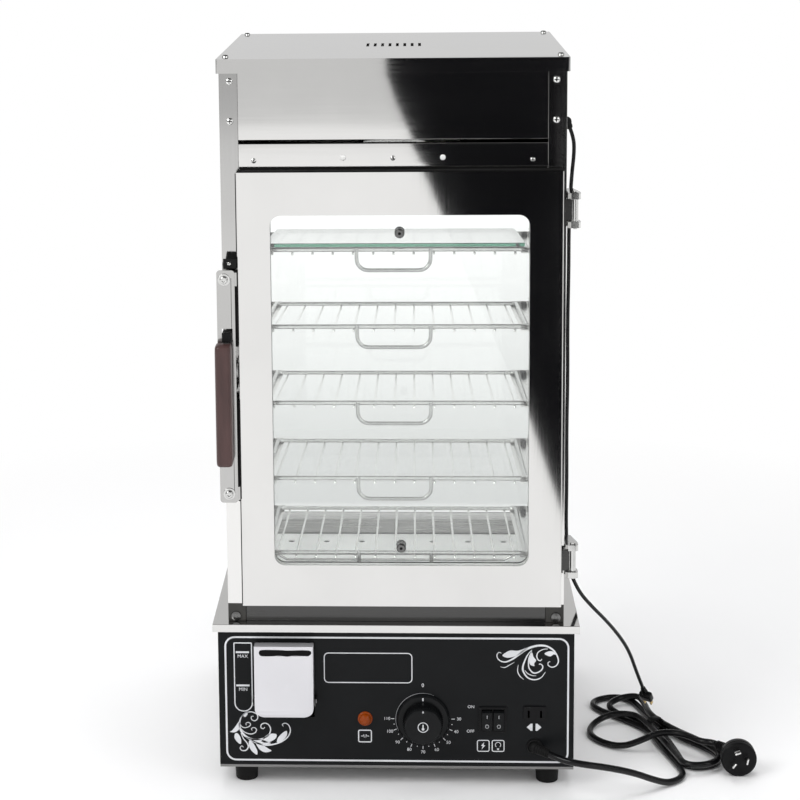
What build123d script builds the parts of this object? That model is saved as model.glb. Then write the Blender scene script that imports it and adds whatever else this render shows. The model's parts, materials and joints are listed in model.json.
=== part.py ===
from build123d import *
import math
import os

os.makedirs("parts", exist_ok=True)

# All lengths are in millimetres and all angles in degrees.
# While the pieces are made, X runs to the right, Y to the rear and Z up, with Y = 0 at the front
# edge of the base's steel rim and Z = 0 at the floor. The last step moves everything along Y, so
# that the origin lies under the middle of the object.

# Base unit
rim_width = 385.0
rim_depth = 365.0
rim_height = 180.5
rim_lip = 8.4
sheet = 1.2
housing_inset = 5.3
foot_height = 20.5
foot_radius = 13.0
foot_taper = 1.4
foot_x = 160.8
foot_inset = 28.0
overlay_thick = 0.8
overlay_bottom_gap = 3.2

# Water tank, its perforated plate and the heater
tank_width = 290.0
tank_depth = 260.0
tank_height = 70.0
tank_flange = 7.0
tank_front_gap = 40.0
fit_gap = 0.3
steam_hole = 4.0
steam_columns = 7
steam_rows = 6
element_radius = 4.0
element_bend = 38.0
element_end_gap = 12.0
element_far_gap = 40.0
drain_x = 120.0
sensor_front = 18.0
sensor_bend = 9.0
sensor_radius = 3.0
sensor_length = 60.0
drain_radius = 6.0

# Control panel: places on the panel, all from the floor and from the middle of the width
dial_x = 28.5
dial_z = 76.0
dial_skirt_radius = 28.5
dial_skirt_thick = 5.0
dial_knob_radius = 21.7
dial_knob_length = 17.5
dial_shaft_radius = 3.0
shaft_fit = 0.05
lamp_x = -32.5
lamp_radius = 7.8
switch_x = 102.2
switch_z = 75.6
rocker_width = 11.0
rocker_height = 21.6
rocker_tilt = 9.0
bezel = 2.2
outlet_x = 146.2
outlet_z = 82.6
outlet_width = 23.8
outlet_height = 16.8
gland_x = 146.1
gland_z = 46.5
gland_radius = 8.2
gland_nose = 20.0

# White tip-out filler box
filler_width = 61.6
filler_mid_x = -117.2
filler_top = 159.5
filler_proud = 19.0
filler_wall = 3.0
filler_pivot_z = 98.0
filler_bottom_radius = 20.4
filler_depth = 34.0
filler_back_top = 146.0
filler_slot_width = 52.0
filler_slot_height = 6.0
filler_corner = 8.8
pivot_pin_radius = 1.8
pivot_pin_reach = 3.2
panel_opening_gap = 0.6
ear_thick = 1.8

# Cabinet on the base
cabinet_width = 352.6
cabinet_depth = 331.0
cabinet_front = 11.0
block_height = 19.5
post_leg = 19.0
cap_height = 775.0
cap_flange = 14.5
cap_overhang = 2.7
roof_space = 111.0
front_rail_height = 24.0
panel_gap = 4.0
rail_flange = 12.0
rail_hole_radius = 3.0
rail_hole_spacing = 101.4
side_glass = 4.0
ceiling_hole = 34.0
lamp_glass_radius = 40.0
lamp_glass_thick = 3.0
lower_rail_depth = 15.0
rear_rail_depth = 32.0
grommet_y = 50.0
grommet_rise = 40.0

# Door
door_left = -159.4
door_right = 172.4
door_bottom_gap = 3.5
door_top_gap = 3.0
door_thick = 16.0
door_gap = 1.0
stile_width = 34.0
door_rail_height = 44.2
window_radius = 11.3
pane_thick = 4.0
pane_lap = 10.0
fastener_radius = 5.2
fastener_inset = 18.8

# Hinges, at the right of the door
hinge_out = 12.2
hinge_back = 10.0
hinge_pin_radius = 1.9
hinge_barrel_radius = 3.2
hinge_height = 36.0
hinge_ear = 6.6
hinge_upper_inset = 41.0
hinge_lower_inset = 47.5
hinge_leaf = 1.5

# Handle on the door's free edge
channel_width = 18.5
channel_drop = 99.0
channel_length = 244.5
channel_proud = 8.0
grip_drop = 74.8
grip_length = 130.2
grip_width = 16.6
grip_depth = 22.0
bolt_inset = 9.6
washer_thick = 1.2
latch_pivot_drop = 9.2
latch_tail_drop = 50.2
latch_roller_drop = 34.2
latch_roller_radius = 6.0
latch_roller_width = 3.0
strike_thick = 3.0

# Wire racks
rack_count = 5
rack_top_drop = 87.2
rack_low_rise = 52.8
rack_slope = 6.0
rack_width = 280.0
rack_depth = 246.0
rack_front = 24.0
rack_bar = 2.4
rack_wire = 1.2
rack_wires = 13
rack_wire_pitch = 20.8
rack_handle_half = 38.0
rack_handle_drop = 21.0
rack_handle_rod = 2.0
rack_handle_bend = 12.0
runner_gap = 0.3
runner_clear = 12.7
runner_lap = 9.0
runner_thick = 1.5
runner_strip = 12.0
drip_glass = 4.0

# Screws
screw_head = 3.6
screw_head_height = 2.2
screw_shank = 1.5
screw_length = 7.0
hole_gap = 0.1

# Cords
mains_radius = 3.5
lamp_cord_radius = 2.0
floor_gap = 0.1

# Sizes that follow from the ones above
half_rim = rim_width / 2
half_housing = half_rim - housing_inset
housing_rear = rim_depth - housing_inset
panel_front = housing_inset
panel_back = panel_front + sheet
overlay_front = panel_front - overlay_thick
half_cabinet = cabinet_width / 2
cabinet_rear = cabinet_front + cabinet_depth
cabinet_floor = rim_height + block_height
cap_under = cap_height - sheet
front_rail_bottom = cap_height - roof_space
front_rail_top = front_rail_bottom + front_rail_height
ceiling_z = front_rail_bottom + sheet
upper_panel_bottom = front_rail_top + panel_gap
behind_post = cabinet_front + sheet
post_inner = half_cabinet - sheet
grommet_z = front_rail_bottom + grommet_rise
door_back = cabinet_front - door_gap
door_bottom = cabinet_floor + door_bottom_gap
door_top = front_rail_bottom - door_top_gap
door_front = door_back - door_thick
window_left = door_left + stile_width
window_right = door_right - stile_width
window_bottom = door_bottom + door_rail_height
window_top = door_top - door_rail_height
window_mid = (window_left + window_right) / 2
hinge_x = door_right + hinge_out
hinge_y = door_front + hinge_back
hinge_upper_z = door_top - hinge_upper_inset
hinge_lower_z = door_bottom + hinge_lower_inset
channel_front = door_front - channel_proud
channel_right = door_left - 2.1
channel_left = channel_right - channel_width
channel_mid = (channel_left + channel_right) / 2
grip_front = channel_front - grip_depth
channel_top = door_top - channel_drop
channel_bottom = channel_top - channel_length
grip_top = channel_top - grip_drop
grip_bottom = grip_top - grip_length
latch_pivot_z = grip_top - latch_pivot_drop
latch_tail_z = grip_top - latch_tail_drop
latch_roller_z = grip_top - latch_roller_drop
rack_top_z = front_rail_bottom - rack_top_drop
rack_pitch = (rack_top_z - cabinet_floor - rack_low_rise) / (rack_count - 1)
filler_left = filler_mid_x - filler_width / 2
filler_right = filler_mid_x + filler_width / 2
filler_front = panel_front - filler_proud
filler_pivot_y = filler_front + 10.0
filler_back = filler_front + filler_depth
tank_rear = tank_front_gap + tank_depth
tank_floor = rim_height - tank_height
flange_top = rim_height + sheet
element_z = tank_floor + 16.0
element_lines = (tank_front_gap + 90.0, tank_front_gap + 170.0)
sensor_x = dial_x + 12.0
sensor_z = tank_floor + 11.0
drain_z = tank_floor + drain_radius + 3.0
lamp_y = cabinet_front + cabinet_depth / 2
post_screw_x = half_cabinet - 10.8
post_screw_heights = (cap_height - cap_flange - 8.2, cap_height - cap_flange - 49.0)
rocker_pivot_y = panel_front + 1.5
latch_mid = channel_mid + 0.8
latch_y = channel_front + sheet + 6.0
roller_y = cabinet_front - strike_thick - fit_gap - latch_roller_radius
rear_reach = 20.0
front_reach = -grip_front
origin_shift = (front_reach - rear_reach - rim_depth) / 2


# Small shape makers

def block(x0, x1, y0, y1, z0, z1):
    middle = ((x0 + x1) / 2, (y0 + y1) / 2, (z0 + z1) / 2)
    return Pos(*middle) * Box(abs(x1 - x0), abs(y1 - y0), abs(z1 - z0))


def rod(start, end, radius):
    axis = Vector(*end) - Vector(*start)
    base = Plane(origin=start, z_dir=axis)
    return base * Cylinder(radius, axis.length, align=(Align.CENTER, Align.CENTER, Align.MIN))


def cone(start, end, radius_a, radius_b):
    axis = Vector(*end) - Vector(*start)
    base = Plane(origin=start, z_dir=axis)
    return base * Cone(radius_a, radius_b, axis.length, align=(Align.CENTER, Align.CENTER, Align.MIN))


def facing_plate(x0, x1, z0, z1, corner, y0, y1):
    """A plate that faces the front, with rounded corners."""
    outline = RectangleRounded(x1 - x0, z1 - z0, corner)
    return Pos((x0 + x1) / 2, y1, (z0 + z1) / 2) * Rot(90, 0, 0) * extrude(outline, y1 - y0)


def side_profile(points, x0, x1):
    """A closed outline of (y, z) points, run along X."""
    face = make_face(Polyline(*points, close=True))
    return extrude(Plane.YZ.offset(x0) * face, x1 - x0)


def plan_profile(points, z0, z1):
    """A closed outline of (x, y) points, run upwards."""
    return Pos(0, 0, z0) * extrude(make_face(Polyline(*points, close=True)), z1 - z0)


def tray(x0, x1, y0, y1, z0, z1, wall):
    """A sheet tray with its open side up."""
    inside = block(x0 + wall, x1 - wall, y0 + wall, y1 - wall, z0 + wall, z1 + wall)
    return block(x0, x1, y0, y1, z0, z1) - inside


def dome_screw(place, outward, head=screw_head, length=screw_length):
    """A pan head screw with a cross recess. It seats at place and its head points outward."""
    seat = Plane(origin=place, z_dir=outward)
    cap = Cylinder(head, screw_head_height, align=(Align.CENTER, Align.CENTER, Align.MIN))
    cap = fillet(cap.edges().sort_by(Axis.Z)[-1], screw_head_height * 0.6)
    cut = Box(head, head * 0.22, 1.6) + Box(head * 0.22, head, 1.6)
    cap -= Pos(0, 0, screw_head_height) * cut
    cap += Pos(0, 0, -length) * Cylinder(screw_shank, length, align=(Align.CENTER, Align.CENTER, Align.MIN))
    return seat * cap


def screw_hole(place, axis):
    reach = Vector(*axis) * 4
    start = Vector(*place) - reach
    end = Vector(*place) + reach
    return rod(tuple(start), tuple(end), screw_shank + hole_gap)


def bend_radii(points):
    """The largest radius that each corner of a route has room for."""
    radii = []
    for before, corner, after in zip(points, points[1:], points[2:]):
        run_in = Vector(*corner) - Vector(*before)
        run_out = Vector(*after) - Vector(*corner)
        turn = math.radians(run_in.get_angle(run_out))
        radii.append(0.45 * min(run_in.length, run_out.length) / math.tan(turn / 2))
    return radii


def tube(points, radius, radii=None, inner=0.0):
    """A round tube along straight runs that are joined by arcs."""
    bends = radii or bend_radii(points)
    line = FilletPolyline(*points, radius=bends)
    start = Plane(origin=line @ 0, z_dir=line % 0)
    solid = sweep(start * Circle(radius), path=line)
    if inner:
        solid -= sweep(start * Circle(inner), path=line)
    return solid, line


def gather(shapes):
    """Separate solids kept in one piece, such as a set of equal screws."""
    return Compound([solid for shape in shapes for solid in shape.solids()])


# Base unit

def rim_opening():
    edge = tank_width / 2 + fit_gap
    return block(-edge, edge, tank_front_gap - fit_gap, tank_rear + fit_gap, rim_height - 3, rim_height + 3)


def base_top_rim():
    low = rim_height - rim_lip
    solid = block(-half_rim, half_rim, 0, rim_depth, low, rim_height)
    inner = half_rim - sheet
    solid -= block(-inner, inner, sheet, rim_depth - sheet, low - 1, rim_height - sheet)
    return solid - rim_opening()


def base_shell():
    top = rim_height - sheet
    solid = block(-half_housing, half_housing, panel_back, housing_rear, foot_height, top)
    inner = half_housing - sheet
    solid -= block(-inner, inner, panel_back - 1, housing_rear - sheet, foot_height - 1, top + 1)
    drain = rod((drain_x, housing_rear - 5, drain_z), (drain_x, housing_rear + 5, drain_z), drain_radius + fit_gap)
    for row in range(4):
        low = 60 + row * 10
        for side in (-1, 1):
            solid -= block(side * (half_housing - 4), side * (half_housing + 4), 230, 290, low, low + 4)
    return solid - drain


def foot_places():
    return [(side * foot_x, y) for side in (-1, 1) for y in (foot_inset, rim_depth - foot_inset)]


def base_bottom_plate():
    inner = half_housing - sheet
    solid = block(-inner, inner, panel_back, housing_rear - sheet, foot_height, foot_height + sheet)
    for column in range(8):
        x = -70 + column * 20
        solid -= block(x - 3, x + 3, 150, 210, foot_height - 1, foot_height + 3)
    for x, y in foot_places():
        solid -= screw_hole((x, y, foot_height), (0, 0, 1))
    return solid


def rubber_feet():
    feet = []
    for x, y in foot_places():
        foot = cone((x, y, 0), (x, y, foot_height), foot_radius - foot_taper, foot_radius)
        foot -= rod((x, y, -1), (x, y, foot_height - 6), screw_head + 0.6)
        foot -= rod((x, y, 0), (x, y, foot_height + 1), screw_shank + hole_gap)
        feet.append(foot)
    return gather(feet)


def foot_screws():
    seat = foot_height - 6
    return [dome_screw((x, y, seat), (0, 0, -1), length=12) for x, y in foot_places()]


def panel_cutouts():
    """The holes that the panel and its printed overlay share."""
    y0 = overlay_front - 2
    y1 = panel_back + 2
    holes = [rod((dial_x, y0, dial_z), (dial_x, y1, dial_z), dial_shaft_radius + 1.5)]
    holes.append(rod((lamp_x, y0, dial_z), (lamp_x, y1, dial_z), lamp_radius - 2))
    width = rocker_width + bezel
    holes.append(block(switch_x - width, switch_x + width, y0, y1, switch_z - 13.2, switch_z + 13.2))
    half = outlet_width / 2 - 2
    high = outlet_height / 2 - 2
    holes.append(block(outlet_x - half, outlet_x + half, y0, y1, outlet_z - high, outlet_z + high))
    holes.append(rod((gland_x, y0, gland_z), (gland_x, y1, gland_z), gland_radius - 2.5))
    gap = panel_opening_gap
    low = filler_pivot_z - filler_bottom_radius - gap
    top = filler_top + gap
    holes.append(block(filler_left - gap, filler_right + gap, y0, y1, low, top))
    return holes


def front_panel():
    top = rim_height - sheet
    solid = block(-half_housing, half_housing, panel_front, panel_back, foot_height, top)
    for hole in panel_cutouts():
        solid -= hole
    for ear in filler_ears():
        solid += ear
    return solid


def panel_overlay():
    low = foot_height + overlay_bottom_gap
    top = rim_height - sheet - 1.5
    solid = block(-half_housing, half_housing, overlay_front, panel_front, low, top)
    for hole in panel_cutouts():
        solid -= hole
    for side, edge in ((-1, filler_left), (1, filler_right)):
        x0, x1, z0, z1 = ear_outline(side, edge)
        solid -= block(x0, x1 + side * hole_gap, overlay_front - 1, panel_front, z0 - hole_gap, z1 + hole_gap)
    return solid


def water_tank():
    half = tank_width / 2
    solid = tray(-half, half, tank_front_gap, tank_rear, tank_floor, rim_height, sheet)
    wide = half + tank_flange
    flange = block(-wide, wide, tank_front_gap - tank_flange, tank_rear + tank_flange, rim_height, flange_top)
    flange -= block(-half + sheet, half - sheet, tank_front_gap + sheet, tank_rear - sheet, rim_height - 1, flange_top + 1)
    solid += flange
    for y in element_lines:
        solid -= rod((half - 5, y, element_z), (half + 5, y, element_z), element_radius + shaft_fit)
    solid -= rod((sensor_x, tank_front_gap - 5, sensor_z), (sensor_x, tank_front_gap + 5, sensor_z), 1.0 + shaft_fit)
    solid -= rod((drain_x, tank_rear - 5, drain_z), (drain_x, tank_rear + 5, drain_z), drain_radius + shaft_fit)
    return solid + filler_trough() - trough_outlet()


def steam_plate():
    half = tank_width / 2 + tank_flange - 1
    front = tank_front_gap - tank_flange + 1
    rear = tank_rear + tank_flange - 1
    solid = block(-half, half, front, rear, flange_top, flange_top + sheet)
    across = tank_width / steam_columns
    along = tank_depth / steam_rows
    holes = [
        Pos(-tank_width / 2 + (i + 0.5) * across, tank_front_gap + (j + 0.5) * along, flange_top)
        * Cylinder(steam_hole, 4)
        for i in range(steam_columns)
        for j in range(steam_rows)
    ]
    return solid - Compound(holes)


def heating_element():
    end = tank_width / 2 + element_end_gap
    far = -tank_width / 2 + element_far_gap
    first, second = element_lines
    points = [(end, first, element_z), (far, first, element_z), (far, second, element_z), (end, second, element_z)]
    solid, _ = tube(points, element_radius, radii=[element_bend, element_bend])
    wall = tank_width / 2
    for y in element_lines:
        solid += rod((wall, y, element_z), (wall + 3, y, element_z), element_radius + 5)
    return solid


def thermostat_sensor():
    start = dial_z + 19
    bulb = tank_front_gap + 20
    points = [(sensor_x, sensor_front, start), (sensor_x, sensor_front, sensor_z), (sensor_x, bulb + 2, sensor_z)]
    solid, _ = tube(points, 1.0, radii=[sensor_bend])
    return solid + rod((sensor_x, bulb, sensor_z), (sensor_x, bulb + sensor_length, sensor_z), sensor_radius)


def drain_pipe():
    start = (drain_x, tank_rear - 3, drain_z)
    end = (drain_x, housing_rear + 14, drain_z)
    solid = rod(start, end, drain_radius)
    solid += rod((drain_x, tank_rear, drain_z), (drain_x, tank_rear + 3, drain_z), drain_radius + 4)
    solid -= rod((drain_x, tank_rear - 5, drain_z), (drain_x, housing_rear + 10, drain_z), drain_radius - 1.5)
    cap = rod((drain_x, housing_rear + 3, drain_z), (drain_x, rim_depth + rear_reach, drain_z), drain_radius + 4)
    cap -= rod((drain_x, housing_rear, drain_z), (drain_x, housing_rear + 14, drain_z), drain_radius - 1.5)
    return solid + cap


# Control panel pieces

def thermostat_body():
    solid = block(dial_x - 20, dial_x + 20, panel_back, panel_back + 26, dial_z - 20, dial_z + 20)
    solid = fillet(solid.edges().filter_by(Axis.Y), 5)
    solid -= rod((dial_x, 0, dial_z), (dial_x, panel_back + 14.5, dial_z), dial_shaft_radius + shaft_fit)
    return solid + thermostat_sensor()


def dial_skirt():
    back = overlay_front - 0.6
    front = back - dial_skirt_thick
    solid = cone((dial_x, back, dial_z), (dial_x, front, dial_z), dial_skirt_radius, dial_skirt_radius - 2.5)
    return solid - rod((dial_x, back + 1, dial_z), (dial_x, front - 1, dial_z), dial_shaft_radius + 1)


def dial_knob():
    back = overlay_front - 0.6 - dial_skirt_thick
    front = back - dial_knob_length
    solid = cone((dial_x, back, dial_z), (dial_x, front, dial_z), dial_knob_radius, dial_knob_radius - 1.2)
    solid = fillet(solid.edges().sort_by(Axis.Y)[0], 2.5)
    ring = rod((dial_x, front - 1, dial_z), (dial_x, front + 0.6, dial_z), 5.6)
    ring -= rod((dial_x, front - 2, dial_z), (dial_x, front + 2, dial_z), 4.8)
    solid -= ring
    return solid + rod((dial_x, back, dial_z), (dial_x, panel_back + 14, dial_z), dial_shaft_radius)


def indicator_lens():
    ring = rod((lamp_x, overlay_front, dial_z), (lamp_x, overlay_front - 2, dial_z), lamp_radius)
    dome = cone((lamp_x, overlay_front - 2, dial_z), (lamp_x, overlay_front - 6, dial_z), lamp_radius - 1, lamp_radius - 3)
    solid = ring + dome
    return solid + rod((lamp_x, overlay_front, dial_z), (lamp_x, panel_back + 4, dial_z), lamp_radius - 2 - shaft_fit)


def indicator_body():
    back = panel_back + 4
    solid = rod((lamp_x, panel_back, dial_z), (lamp_x, back + 16, dial_z), lamp_radius + 1)
    return solid - rod((lamp_x, panel_back - 1, dial_z), (lamp_x, back + fit_gap, dial_z), lamp_radius - 2)


def switch_body():
    out = rocker_width + bezel
    in_ = rocker_width + bezel - shaft_fit
    low = switch_z - 13.2
    front = overlay_front - 2.0
    high = 2 * switch_z - low
    solid = facing_plate(switch_x - out - 1.5, switch_x + out + 1.5, low - 1.2, high + 1.2, 1.2, front, overlay_front)
    solid += block(switch_x - in_, switch_x + in_, overlay_front, panel_back + 20, low + shaft_fit, high - shaft_fit)
    for side in (-1, 1):
        middle = switch_x + side * (rocker_width / 2 + 0.7)
        half = rocker_width / 2 + fit_gap
        tall = rocker_height / 2 + 1.3
        solid -= block(middle - half, middle + half, front - 1, panel_back + 12, switch_z - tall, switch_z + tall)
    return solid


def rocker(side):
    """One rocker, stored with its lower end pressed in."""
    middle = switch_x + side * (rocker_width / 2 + 0.7)
    half = rocker_height / 2
    pivot = rocker_pivot_y
    face = pivot - 6.6
    points = [(face, -half), (face + 1.4, 0), (face, half), (pivot, half), (pivot + 3, 3), (pivot + 3, -3), (pivot, -half)]
    solid = side_profile([(y - pivot, z) for y, z in points], -rocker_width / 2, rocker_width / 2)
    return Pos(middle, pivot, switch_z) * Rot(rocker_tilt, 0, 0) * solid


def outlet_socket():
    half = outlet_width / 2
    high = outlet_height / 2
    front = overlay_front - 2.0
    solid = facing_plate(outlet_x - half, outlet_x + half, outlet_z - high, outlet_z + high, 1.5, front, overlay_front)
    inner = half - 2 - shaft_fit
    tall = high - 2 - shaft_fit
    solid += block(outlet_x - inner, outlet_x + inner, overlay_front, panel_back + 20, outlet_z - tall, outlet_z + tall)
    for side in (-1, 1):
        x = outlet_x + side * 6.5
        solid -= block(x - 1.1, x + 1.1, front - 1, panel_back + 14, outlet_z - 4, outlet_z + 4)
    return solid


def mains_gland():
    """The cord's strain relief: a collar on the panel and a tapered nose turned to the right."""
    root = (gland_x, overlay_front - 3, gland_z)
    solid = rod((gland_x, overlay_front, gland_z), root, gland_radius)
    solid += rod((gland_x, overlay_front, gland_z), (gland_x, panel_back + 10, gland_z), gland_radius - 2.5 - shaft_fit)
    solid += Pos(*root) * Sphere(gland_radius - 2)
    return solid + cone(root, mains_route[0], gland_radius - 2, mains_radius + 1.2)


def filler_arc(radius, first, last):
    """Points of the bottom, which is round about the pivot, so that it turns without touching the panel."""
    points = []
    for step in range(9):
        angle = math.radians(first + (last - first) * step / 8)
        points.append((filler_pivot_y + radius * math.cos(angle), filler_pivot_z + radius * math.sin(angle)))
    return points


def filler_shell():
    """Side outline of the box, outside and inside."""
    reach = filler_front - filler_pivot_y
    first = -math.degrees(math.acos(reach / filler_bottom_radius))
    roof_back = overlay_front - 0.5
    outer = [(filler_front, filler_top)] + filler_arc(filler_bottom_radius, first, -30)
    outer += [(filler_back, filler_back_top), (roof_back, filler_back_top), (roof_back, filler_top)]
    w = filler_wall
    inner = [(filler_front + w, filler_top - w), (filler_front + w, filler_pivot_z - 12)]
    inner += filler_arc(filler_bottom_radius - w, -97, -30)
    inner += [(filler_back - w, filler_back_top + 5), (roof_back + 1, filler_back_top + 5)]
    inner += [(roof_back + 1, filler_top - w)]
    return outer, inner


def filler_box():
    """The white tip-out box. Its slot is in front, and its bucket is behind the panel."""
    x0, x1 = filler_left, filler_right
    w = filler_wall
    outer, inner = filler_shell()
    solid = side_profile(outer, x0, x1)
    solid -= side_profile(inner, x0 + w, x1 - w)
    half = filler_slot_width / 2
    slot_top = filler_top - 4
    solid -= facing_plate(filler_mid_x - half, filler_mid_x + half, slot_top - filler_slot_height, slot_top,
                          filler_slot_height / 2 - 0.01, filler_front - 2, filler_front + w + 1)
    solid -= block(filler_mid_x - 14, filler_mid_x + 14, filler_back - 12, filler_back + 2, 118, 128)
    bottom = filler_pivot_z - filler_bottom_radius
    solid &= facing_plate(x0, x1, bottom, filler_top + 60, filler_corner, filler_front - 5, filler_back + 20)
    for side, edge in ((-1, x0), (1, x1)):
        inside = edge - side * 0.5
        outside = edge + side * pivot_pin_reach
        solid += rod((inside, filler_pivot_y, filler_pivot_z), (outside, filler_pivot_y, filler_pivot_z), pivot_pin_radius)
    return solid


def ear_outline(side, edge):
    """The ear's near and far face along X, then its lower and upper end."""
    near = edge + side * panel_opening_gap
    return near, near + side * ear_thick, filler_pivot_z - 4, filler_pivot_z + 4


def filler_ears():
    ears = []
    for side, edge in ((-1, filler_left), (1, filler_right)):
        x0, x1, z0, z1 = ear_outline(side, edge)
        ear = block(x0, x1, filler_pivot_y - 4, panel_back, z0, z1)
        ears.append(ear - rod((x0 - side, filler_pivot_y, filler_pivot_z),
                              (x1 + side, filler_pivot_y, filler_pivot_z), pivot_pin_radius + shaft_fit))
    return ears


def filler_trough():
    """A trough on the tank's front, which takes the water from the bucket."""
    half = filler_width / 2 - 6
    x0, x1 = filler_mid_x - half, filler_mid_x + half
    low = tank_floor + 1.5
    y0 = filler_back + 3.5
    solid = tray(x0, x1, y0, tank_front_gap + 0.5, low, filler_back_top, sheet)
    return solid - block(x0 + sheet, x1 - sheet, y0 - 1, y0 + sheet + 1, low + 5, filler_back_top + 1)


def trough_outlet():
    half = filler_width / 2 - 12
    return block(filler_mid_x - half, filler_mid_x + half, tank_front_gap - 3, tank_front_gap + 3, 122, 130)


# Cabinet

def post(side, rear):
    """An L-section post with its corner at the cabinet's outer corner."""
    y_out = cabinet_rear if rear else cabinet_front
    turn = -1 if rear else 1
    x_out = side * half_cabinet
    front_leg = block(x_out, x_out - side * post_leg, y_out, y_out + turn * sheet, cabinet_floor, cap_under)
    side_leg = block(x_out, x_out - side * sheet, y_out, y_out + turn * post_leg, cabinet_floor, cap_under)
    solid = front_leg + side_leg
    if not rear:
        for z in post_screw_heights:
            solid -= screw_hole((side * post_screw_x, y_out, z), (0, 1, 0))
    return solid


def corner_blocks():
    blocks = []
    for side in (-1, 1):
        x = side * half_cabinet
        for y, turn in ((cabinet_front, 1), (cabinet_rear, -1)):
            blocks.append(block(x, x - side * post_leg, y, y + turn * post_leg, rim_height, cabinet_floor))
    return gather(blocks)


def channel_rail(x0, x1, y0, y1):
    """A lower rail: a sheet channel with its open side down."""
    solid = block(x0, x1, y0, y1, rim_height, cabinet_floor)
    along_x = (x1 - x0) > (y1 - y0)
    cut_x = 1 if along_x else -sheet
    cut_y = -sheet if along_x else 1
    return solid - block(x0 - cut_x, x1 + cut_x, y0 - cut_y, y1 + cut_y, rim_height - 1, cabinet_floor - sheet)


def lower_rail_front():
    edge = half_cabinet - post_leg
    return channel_rail(-edge, edge, behind_post, behind_post + lower_rail_depth)


def lower_rail_rear():
    edge = half_cabinet - post_leg
    return channel_rail(-edge, edge, cabinet_rear - sheet - rear_rail_depth, cabinet_rear - sheet)


def lower_rail_side(side):
    outer = side * (half_cabinet - sheet)
    inner = outer - side * lower_rail_depth
    y0 = cabinet_front + post_leg
    return channel_rail(min(outer, inner), max(outer, inner), y0, cabinet_rear - post_leg)


def rail_hole_places():
    z = front_rail_bottom + front_rail_height * 0.39
    return [(side * rail_hole_spacing / 2, z) for side in (-1, 1)]


def rail_screw_places():
    z = front_rail_bottom + front_rail_height * 0.28
    middle = front_rail_bottom + front_rail_height * 0.37
    return [(-141.9, z), (0.0, middle), (141.9, z)]


def front_rail():
    edge = post_inner
    y0 = behind_post
    solid = block(-edge, edge, y0, y0 + rail_flange, front_rail_bottom, front_rail_top)
    solid -= block(-edge - 1, edge + 1, y0 + sheet, y0 + rail_flange + 1, front_rail_bottom + sheet, front_rail_top - sheet)
    for x, z in rail_hole_places():
        solid -= rod((x, y0 - 3, z), (x, y0 + 3, z), rail_hole_radius)
    for x, z in rail_screw_places():
        solid -= screw_hole((x, y0, z), (0, 1, 0))
    return solid


def upper_front_panel():
    solid = block(-post_inner, post_inner, behind_post, behind_post + sheet, upper_panel_bottom, cap_under)
    for side in (-1, 1):
        for z in post_screw_heights:
            solid -= screw_hole((side * post_screw_x, behind_post, z), (0, 1, 0))
    return solid


def upper_side_panel(side):
    x0 = side * post_inner
    x1 = x0 - side * sheet
    y0 = behind_post + rail_flange + 1
    solid = block(x0, x1, y0, cabinet_rear - sheet - 4, front_rail_bottom, cap_under)
    if side > 0:
        hole = rod((x0 - 5, grommet_y, grommet_z), (x0 + 5, grommet_y, grommet_z), 4.5)
        solid -= hole
    return solid


def upper_rear_panel():
    y1 = cabinet_rear - sheet
    return block(-post_inner, post_inner, y1 - sheet, y1, front_rail_bottom, cap_under)


def ceiling_plate():
    edge = post_inner - sheet
    solid = block(-edge, edge, behind_post + sheet, cabinet_rear - sheet * 2, ceiling_z, ceiling_z + sheet)
    return solid - rod((0, lamp_y, ceiling_z - 3), (0, lamp_y, ceiling_z + 5), ceiling_hole)


def top_cap():
    half = half_cabinet + cap_overhang
    y0 = cabinet_front - cap_overhang
    y1 = cabinet_rear + cap_overhang
    low = cap_height - cap_flange
    solid = block(-half, half, y0, y1, low, cap_height)
    solid = fillet(solid.edges().filter_by(Axis.Z), 1.5)
    solid -= block(-half + sheet, half - sheet, y0 + sheet, y1 - sheet, low - 1, cap_under)
    for x, y in cap_screw_places():
        solid -= screw_hole((x, y, cap_height), (0, 0, 1))
    for column in range(8):
        x = (column - 3.5) * 8
        solid -= block(x - 1.5, x + 1.5, lamp_y - 22, lamp_y + 18, cap_under - 2, cap_height + 2)
    return solid


def cap_screw_places():
    x = half_cabinet - 5.0
    return [(side * x, y) for side in (-1, 1) for y in (cabinet_front + 25.5, cabinet_rear - 10.0)]


def cap_screws():
    return [dome_screw((x, y, cap_height), (0, 0, 1), length=4) for x, y in cap_screw_places()]


def post_screws():
    places = [(side * post_screw_x, cabinet_front, z) for side in (-1, 1) for z in post_screw_heights]
    return [dome_screw(place, (0, -1, 0)) for place in places]


def rail_screws():
    places = [(x, behind_post, z) for x, z in rail_screw_places()]
    return [dome_screw(place, (0, -1, 0), head=2.6) for place in places]


def side_pane(side):
    outer = side * post_inner
    inner = outer - side * side_glass
    y1 = cabinet_rear - sheet - side_glass - 0.5
    return block(outer, inner, behind_post + 0.8, y1, cabinet_floor, front_rail_bottom)


def rear_pane():
    y1 = cabinet_rear - sheet
    return block(-post_inner, post_inner, y1 - side_glass, y1, cabinet_floor, front_rail_bottom)


# Lamp in the roof space

def lamp_lens():
    low = ceiling_z + sheet
    return rod((0, lamp_y, low), (0, lamp_y, low + lamp_glass_thick), lamp_glass_radius)


def lamp_holder():
    z = ceiling_z + 40
    low = ceiling_z + sheet
    solid = block(52, 56, lamp_y - 18, lamp_y + 18, low, z + 14)
    solid += block(52, 72, lamp_y - 18, lamp_y + 18, low, low + 3)
    solid += rod((56, lamp_y, z), (24, lamp_y, z), 13)
    return solid - rod((30, lamp_y, z), (20, lamp_y, z), 10)


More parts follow.
